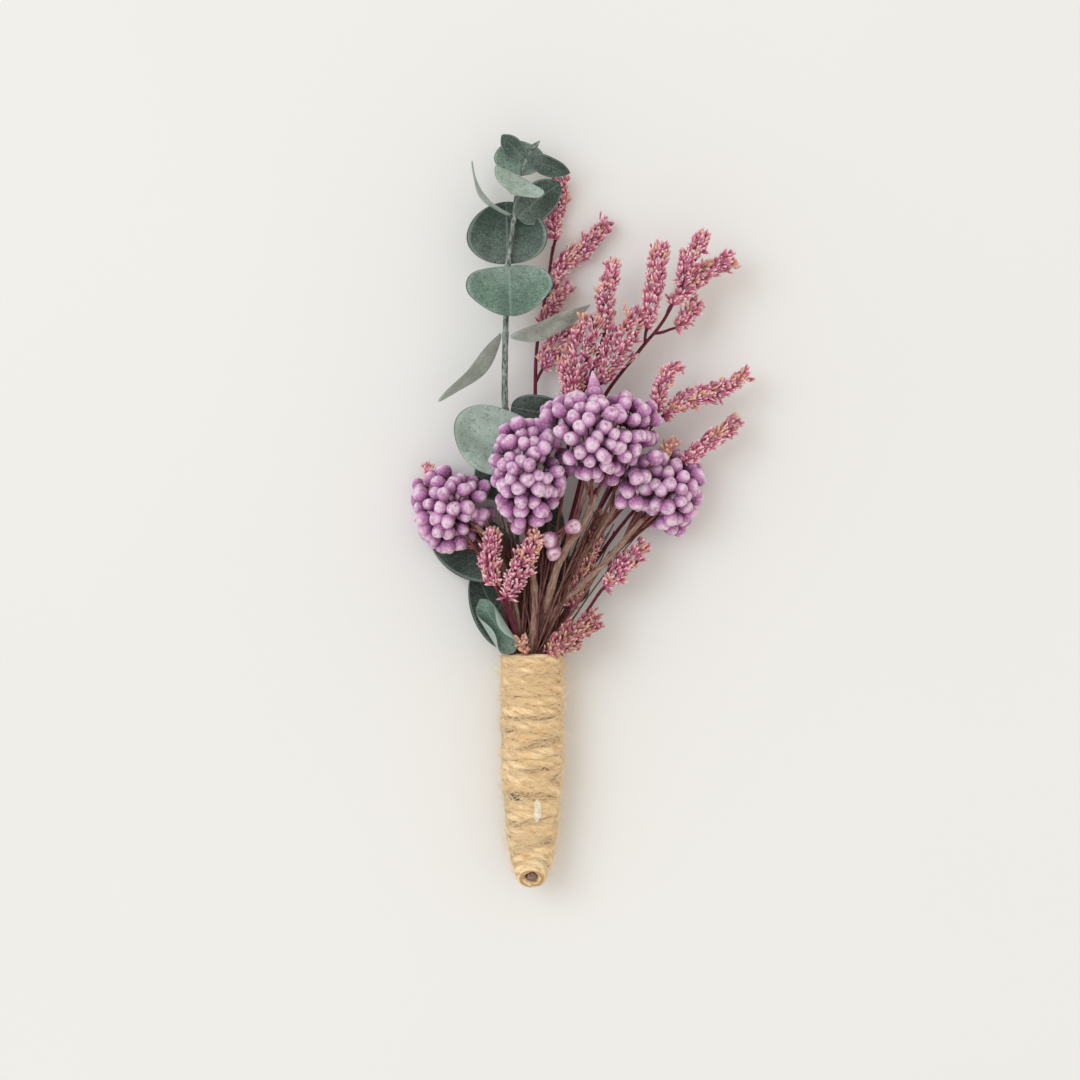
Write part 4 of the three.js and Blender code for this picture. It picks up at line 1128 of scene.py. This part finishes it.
def spike_parts(path, widest, bare, start, root, seed, sizes):
    """A spike: a thin stalk and, past its bare share, tufts of florets that fan out forward from it.

    Each tuft has its own direction and reach, and its florets spread a little round them. The stalk
    runs along the spike's lower edge, as the florets all turn to the light.
    """
    inside = [] if start is None else [around_handle(d, OUTER_RING, math.radians(start)) for d in (8, 0)]
    line = smooth_path([*inside, *path], SPIKE_STEPS)
    tangent = unit(np.gradient(line, axis=0))
    up = unit(np.array([0, 0, 1.0]) - tangent[:, 2:] * tangent)
    left = np.cross(up, tangent)
    total = run_along(line[None])[0, -1]
    rng = np.random.default_rng(seed)
    count = max(12, int(total * (1 - bare) * MM / sizes.floret_gap))
    tuft = np.arange(count) // FLORETS_IN_TUFT
    tufts = tuft[-1] + 1
    bloom = np.clip((tuft + 0.5 + rng.uniform(-0.6, 0.6, count)) / tufts, 0, 1)
    last = SPIKE_STEPS - 1
    at = np.clip(((bare + (1 - bare) * bloom) * last).astype(int), 0, last)
    room = TWIG_RADIUS + (widest - TWIG_RADIUS) * np.sin(math.pi * np.clip(bloom, 0.03, 0.8) ** 0.9) ** 0.5
    # the tufts spread 2.1 radians each way from a little off the top, by the golden ratio
    aim = 2.1 * (2 * ((np.arange(tufts) * 0.618) % 1) - 1) + 0.3
    around = aim[tuft] + rng.normal(0, 0.28, count)
    outward = up[at] * np.cos(around)[:, None] + left[at] * np.sin(around)[:, None]
    lean = rng.normal(0.75, 0.22, tufts)[tuft] - 0.35 * bloom + rng.normal(0, 0.38, count)
    lean = np.clip(lean, 0.05, 1.5)
    size = sizes.floret / MM * rng.uniform(0.5, 1.1, count) * (1 - 0.2 * bloom)
    reach = rng.uniform(0.35, 1.1, tufts)[tuft] * rng.uniform(0.6, 1.08, count)
    stand = np.maximum(0.05, room - size * np.sin(lean)) * reach
    bases = line[at] + outward * stand[:, None] - tangent[at] * (size * 0.3)[:, None]
    directions = (tangent[at] * np.cos(lean)[:, None] + outward * np.sin(lean)[:, None]
                  + rng.normal(0, 0.28, (count, 3)))
    width = sizes.floret_width / MM * rng.uniform(0.7, 1.2, count)
    # the tufts dry out from the tip of the spike down
    dried = rng.random(tufts) < DRY_SHARE * (0.5 + 2.8 * ((np.arange(tufts) + 0.5) / tufts) ** 2)
    dry = dried[tuft] * rng.uniform(0.4, 1, count)
    florets = floret_cups(bases, directions, size, width, seed, dry)
    t = np.linspace(0, 1, SPIKE_STEPS)
    edge = np.clip((t - bare) / (1 - bare) * 4, 0, 1) * np.sin(math.pi * t ** 2)
    core = smooth_path([*root, *inside, *path], SPIKE_STEPS) - left * (edge * 0.45 * widest)[:, None]
    points, straight = tubes(core[None], 0.34 - 0.2 * shares_along(SPIKE_STEPS), 8)
    return florets, (points, {"straight": straight})


class BUNCH_OT_spikes(bpy.types.Operator):
    """Sets the florets of the sea lavender along its spikes"""
    bl_idname = "bunch.spikes"
    bl_label = "Set the florets"

    def execute(self, context):
        sizes, colours = context.scene.bunch_sizes, context.scene.bunch_colours
        finishes = {
            "floret": floret_finish("floret", tuple(colours.floret), tuple(colours.floret_tip), colours),
            "floret_brown": floret_finish("floret_brown", linear("#b06068"), linear("#e6b7a8"), colours),
        }
        body = tuple(colours.spray)
        stem = bark_finish("spike_stalk", body, dim(body, 2.4), 0.6)
        for seed, (name, (path, widest, bare)) in enumerate(SPIKES.items()):
            start = SPIKE_SLOTS.get(name)
            kind = "floret_brown" if name in BROWN_SPIKES else "floret"
            root = [] if start else stem_root(name, path[0])
            florets, stalk = spike_parts(path, widest, bare, start, root, seed + 1, sizes)
            short = name.replace("limonium", "sea_lavender")
            piece(short, [florets], finishes[kind], kind, [name])
            piece(short + "_stalk", [stalk], stem, "spray_stem")
        # loose tufts of dried florets by the binding and beside the heads
        rng = np.random.default_rng(41)
        foot = np.repeat([foot for foot, aim in DRY_TUFTS], TUFT_FLORETS, axis=0)
        aim = np.repeat([aim for foot, aim in DRY_TUFTS], TUFT_FLORETS, axis=0)
        count = len(foot)
        foot = foot + aim * rng.uniform(0, 2.4, (count, 1)) + rng.normal(0, 0.5, (count, 3))
        tuft = floret_cups(foot, aim + rng.normal(0, 0.45, (count, 3)), rng.uniform(1.3, 2.2, count),
                           rng.uniform(0.6, 0.9, count), 5, rng.uniform(0.2, 1, count))
        piece("dry_tufts", [tuft], finishes["floret_brown"], "floret_brown")
        return {"FINISHED"}


# ---------------------------------------------------------------- the stage

LOOKED_AT = (1.6, 23.0, 8.0)            # millimetres from the binding
# metres, from the point looked at
WINDOW_PLACE = (-1.2, 0.65, 1.9)
CAMERA_HEIGHT = 0.9
TABLE_REACH = 2


class BUNCH_OT_stage(bpy.types.Operator):
    """Lays the pale table and sets the soft light and the camera, which looks straight down"""
    bl_idname = "bunch.stage"
    bl_label = "Set the stage"

    def execute(self, context):
        scene, colours = context.scene, context.scene.bunch_colours
        low = frame_box[0].z
        mesh = bpy.data.meshes.new("table")
        corners = [(x * TABLE_REACH, y * TABLE_REACH, low) for x, y in ((-1, -1), (1, -1), (1, 1), (-1, 1))]
        mesh.from_pydata(corners, [], [(0, 1, 2, 3)])
        tree, close = new_finish("table", 0.9, Specular_IOR_Level=0.2)
        place = object_place(tree)
        grain = noise(tree, place, 900.0, 2.0)
        clouds = noise(tree, place, 6.0, 2.0)
        base = tuple(colours.floor)
        shade = mix(tree, between(tree, clouds, 0.3, 0.7), dim(base, 0.985), base)
        mesh.materials.append(close(shade, grain, 0.00001))
        table = bpy.data.objects.new("table", mesh)
        scene.collection.objects.link(table)

        middle = BINDING + np.array(LOOKED_AT) * MM
        world = bpy.data.worlds.new("room")
        world.use_nodes = True
        glow = world.node_tree.nodes["Background"].inputs
        glow["Color"].default_value = (1, 0.968, 0.91, 1)
        glow["Strength"].default_value = 0.84
        scene.world = world
        lamp = bpy.data.lights.new("window", "AREA")
        lamp.shape = "SQUARE"
        lamp.size = 1.5
        lamp.energy = 17.6
        lamp.color = (0.76, 0.87, 1)
        window = bpy.data.objects.new("window", lamp)
        window.location = middle + np.array(WINDOW_PLACE)
        aim = middle - np.array(window.location)
        window.rotation_mode = "QUATERNION"
        window.rotation_quaternion = Vector(aim).to_track_quat("-Z", "Y")
        scene.collection.objects.link(window)

        lens = bpy.data.cameras.new("camera")
        lens.lens = 150
        lens.sensor_width = 36
        lens.clip_start, lens.clip_end = 0.01, 20
        camera = bpy.data.objects.new("camera", lens)
        camera.location = middle + np.array([0, 0, CAMERA_HEIGHT])
        scene.collection.objects.link(camera)
        scene.camera = camera
        scene.view_settings.view_transform = "Standard"
        return {"FINISHED"}


# ---------------------------------------------------------------- the panel

OPERATORS = (BUNCH_OT_stage, BUNCH_OT_twine, BUNCH_OT_woody_stems, BUNCH_OT_sprig, BUNCH_OT_leaves,
             BUNCH_OT_heads, BUNCH_OT_spray_stems, BUNCH_OT_spikes)


class BUNCH_PT_panel(bpy.types.Panel):
    """Lists the steps that build the bunch, with its sizes and colours"""
    bl_idname = "BUNCH_PT_panel"
    bl_label = "Dried flower bunch"
    bl_space_type = "VIEW_3D"
    bl_region_type = "UI"
    bl_category = "Dried bunch"

    def draw(self, context):
        for step in OPERATORS:
            self.layout.operator(step.bl_idname)
        for group in (context.scene.bunch_sizes, context.scene.bunch_colours):
            box = self.layout.box()
            for key in group.__annotations__:
                box.prop(group, key)


CLASSES = (BunchSizes, BunchColours, *OPERATORS, BUNCH_PT_panel)


def register():
    for cls in CLASSES:
        bpy.utils.register_class(cls)
    bpy.types.Scene.bunch_sizes = bpy.props.PointerProperty(type=BunchSizes)
    bpy.types.Scene.bunch_colours = bpy.props.PointerProperty(type=BunchColours)


def unregister():
    del bpy.types.Scene.bunch_colours
    del bpy.types.Scene.bunch_sizes
    for cls in reversed(CLASSES):
        bpy.utils.unregister_class(cls)


def main():
    register()
    bpy.ops.bunch.stage()
    bpy.ops.bunch.twine()
    bpy.ops.bunch.woody_stems()
    bpy.ops.bunch.sprig()
    bpy.ops.bunch.leaves()
    bpy.ops.bunch.heads()
    bpy.ops.bunch.spray_stems()
    bpy.ops.bunch.spikes()


if __name__ == "__main__":
    main()
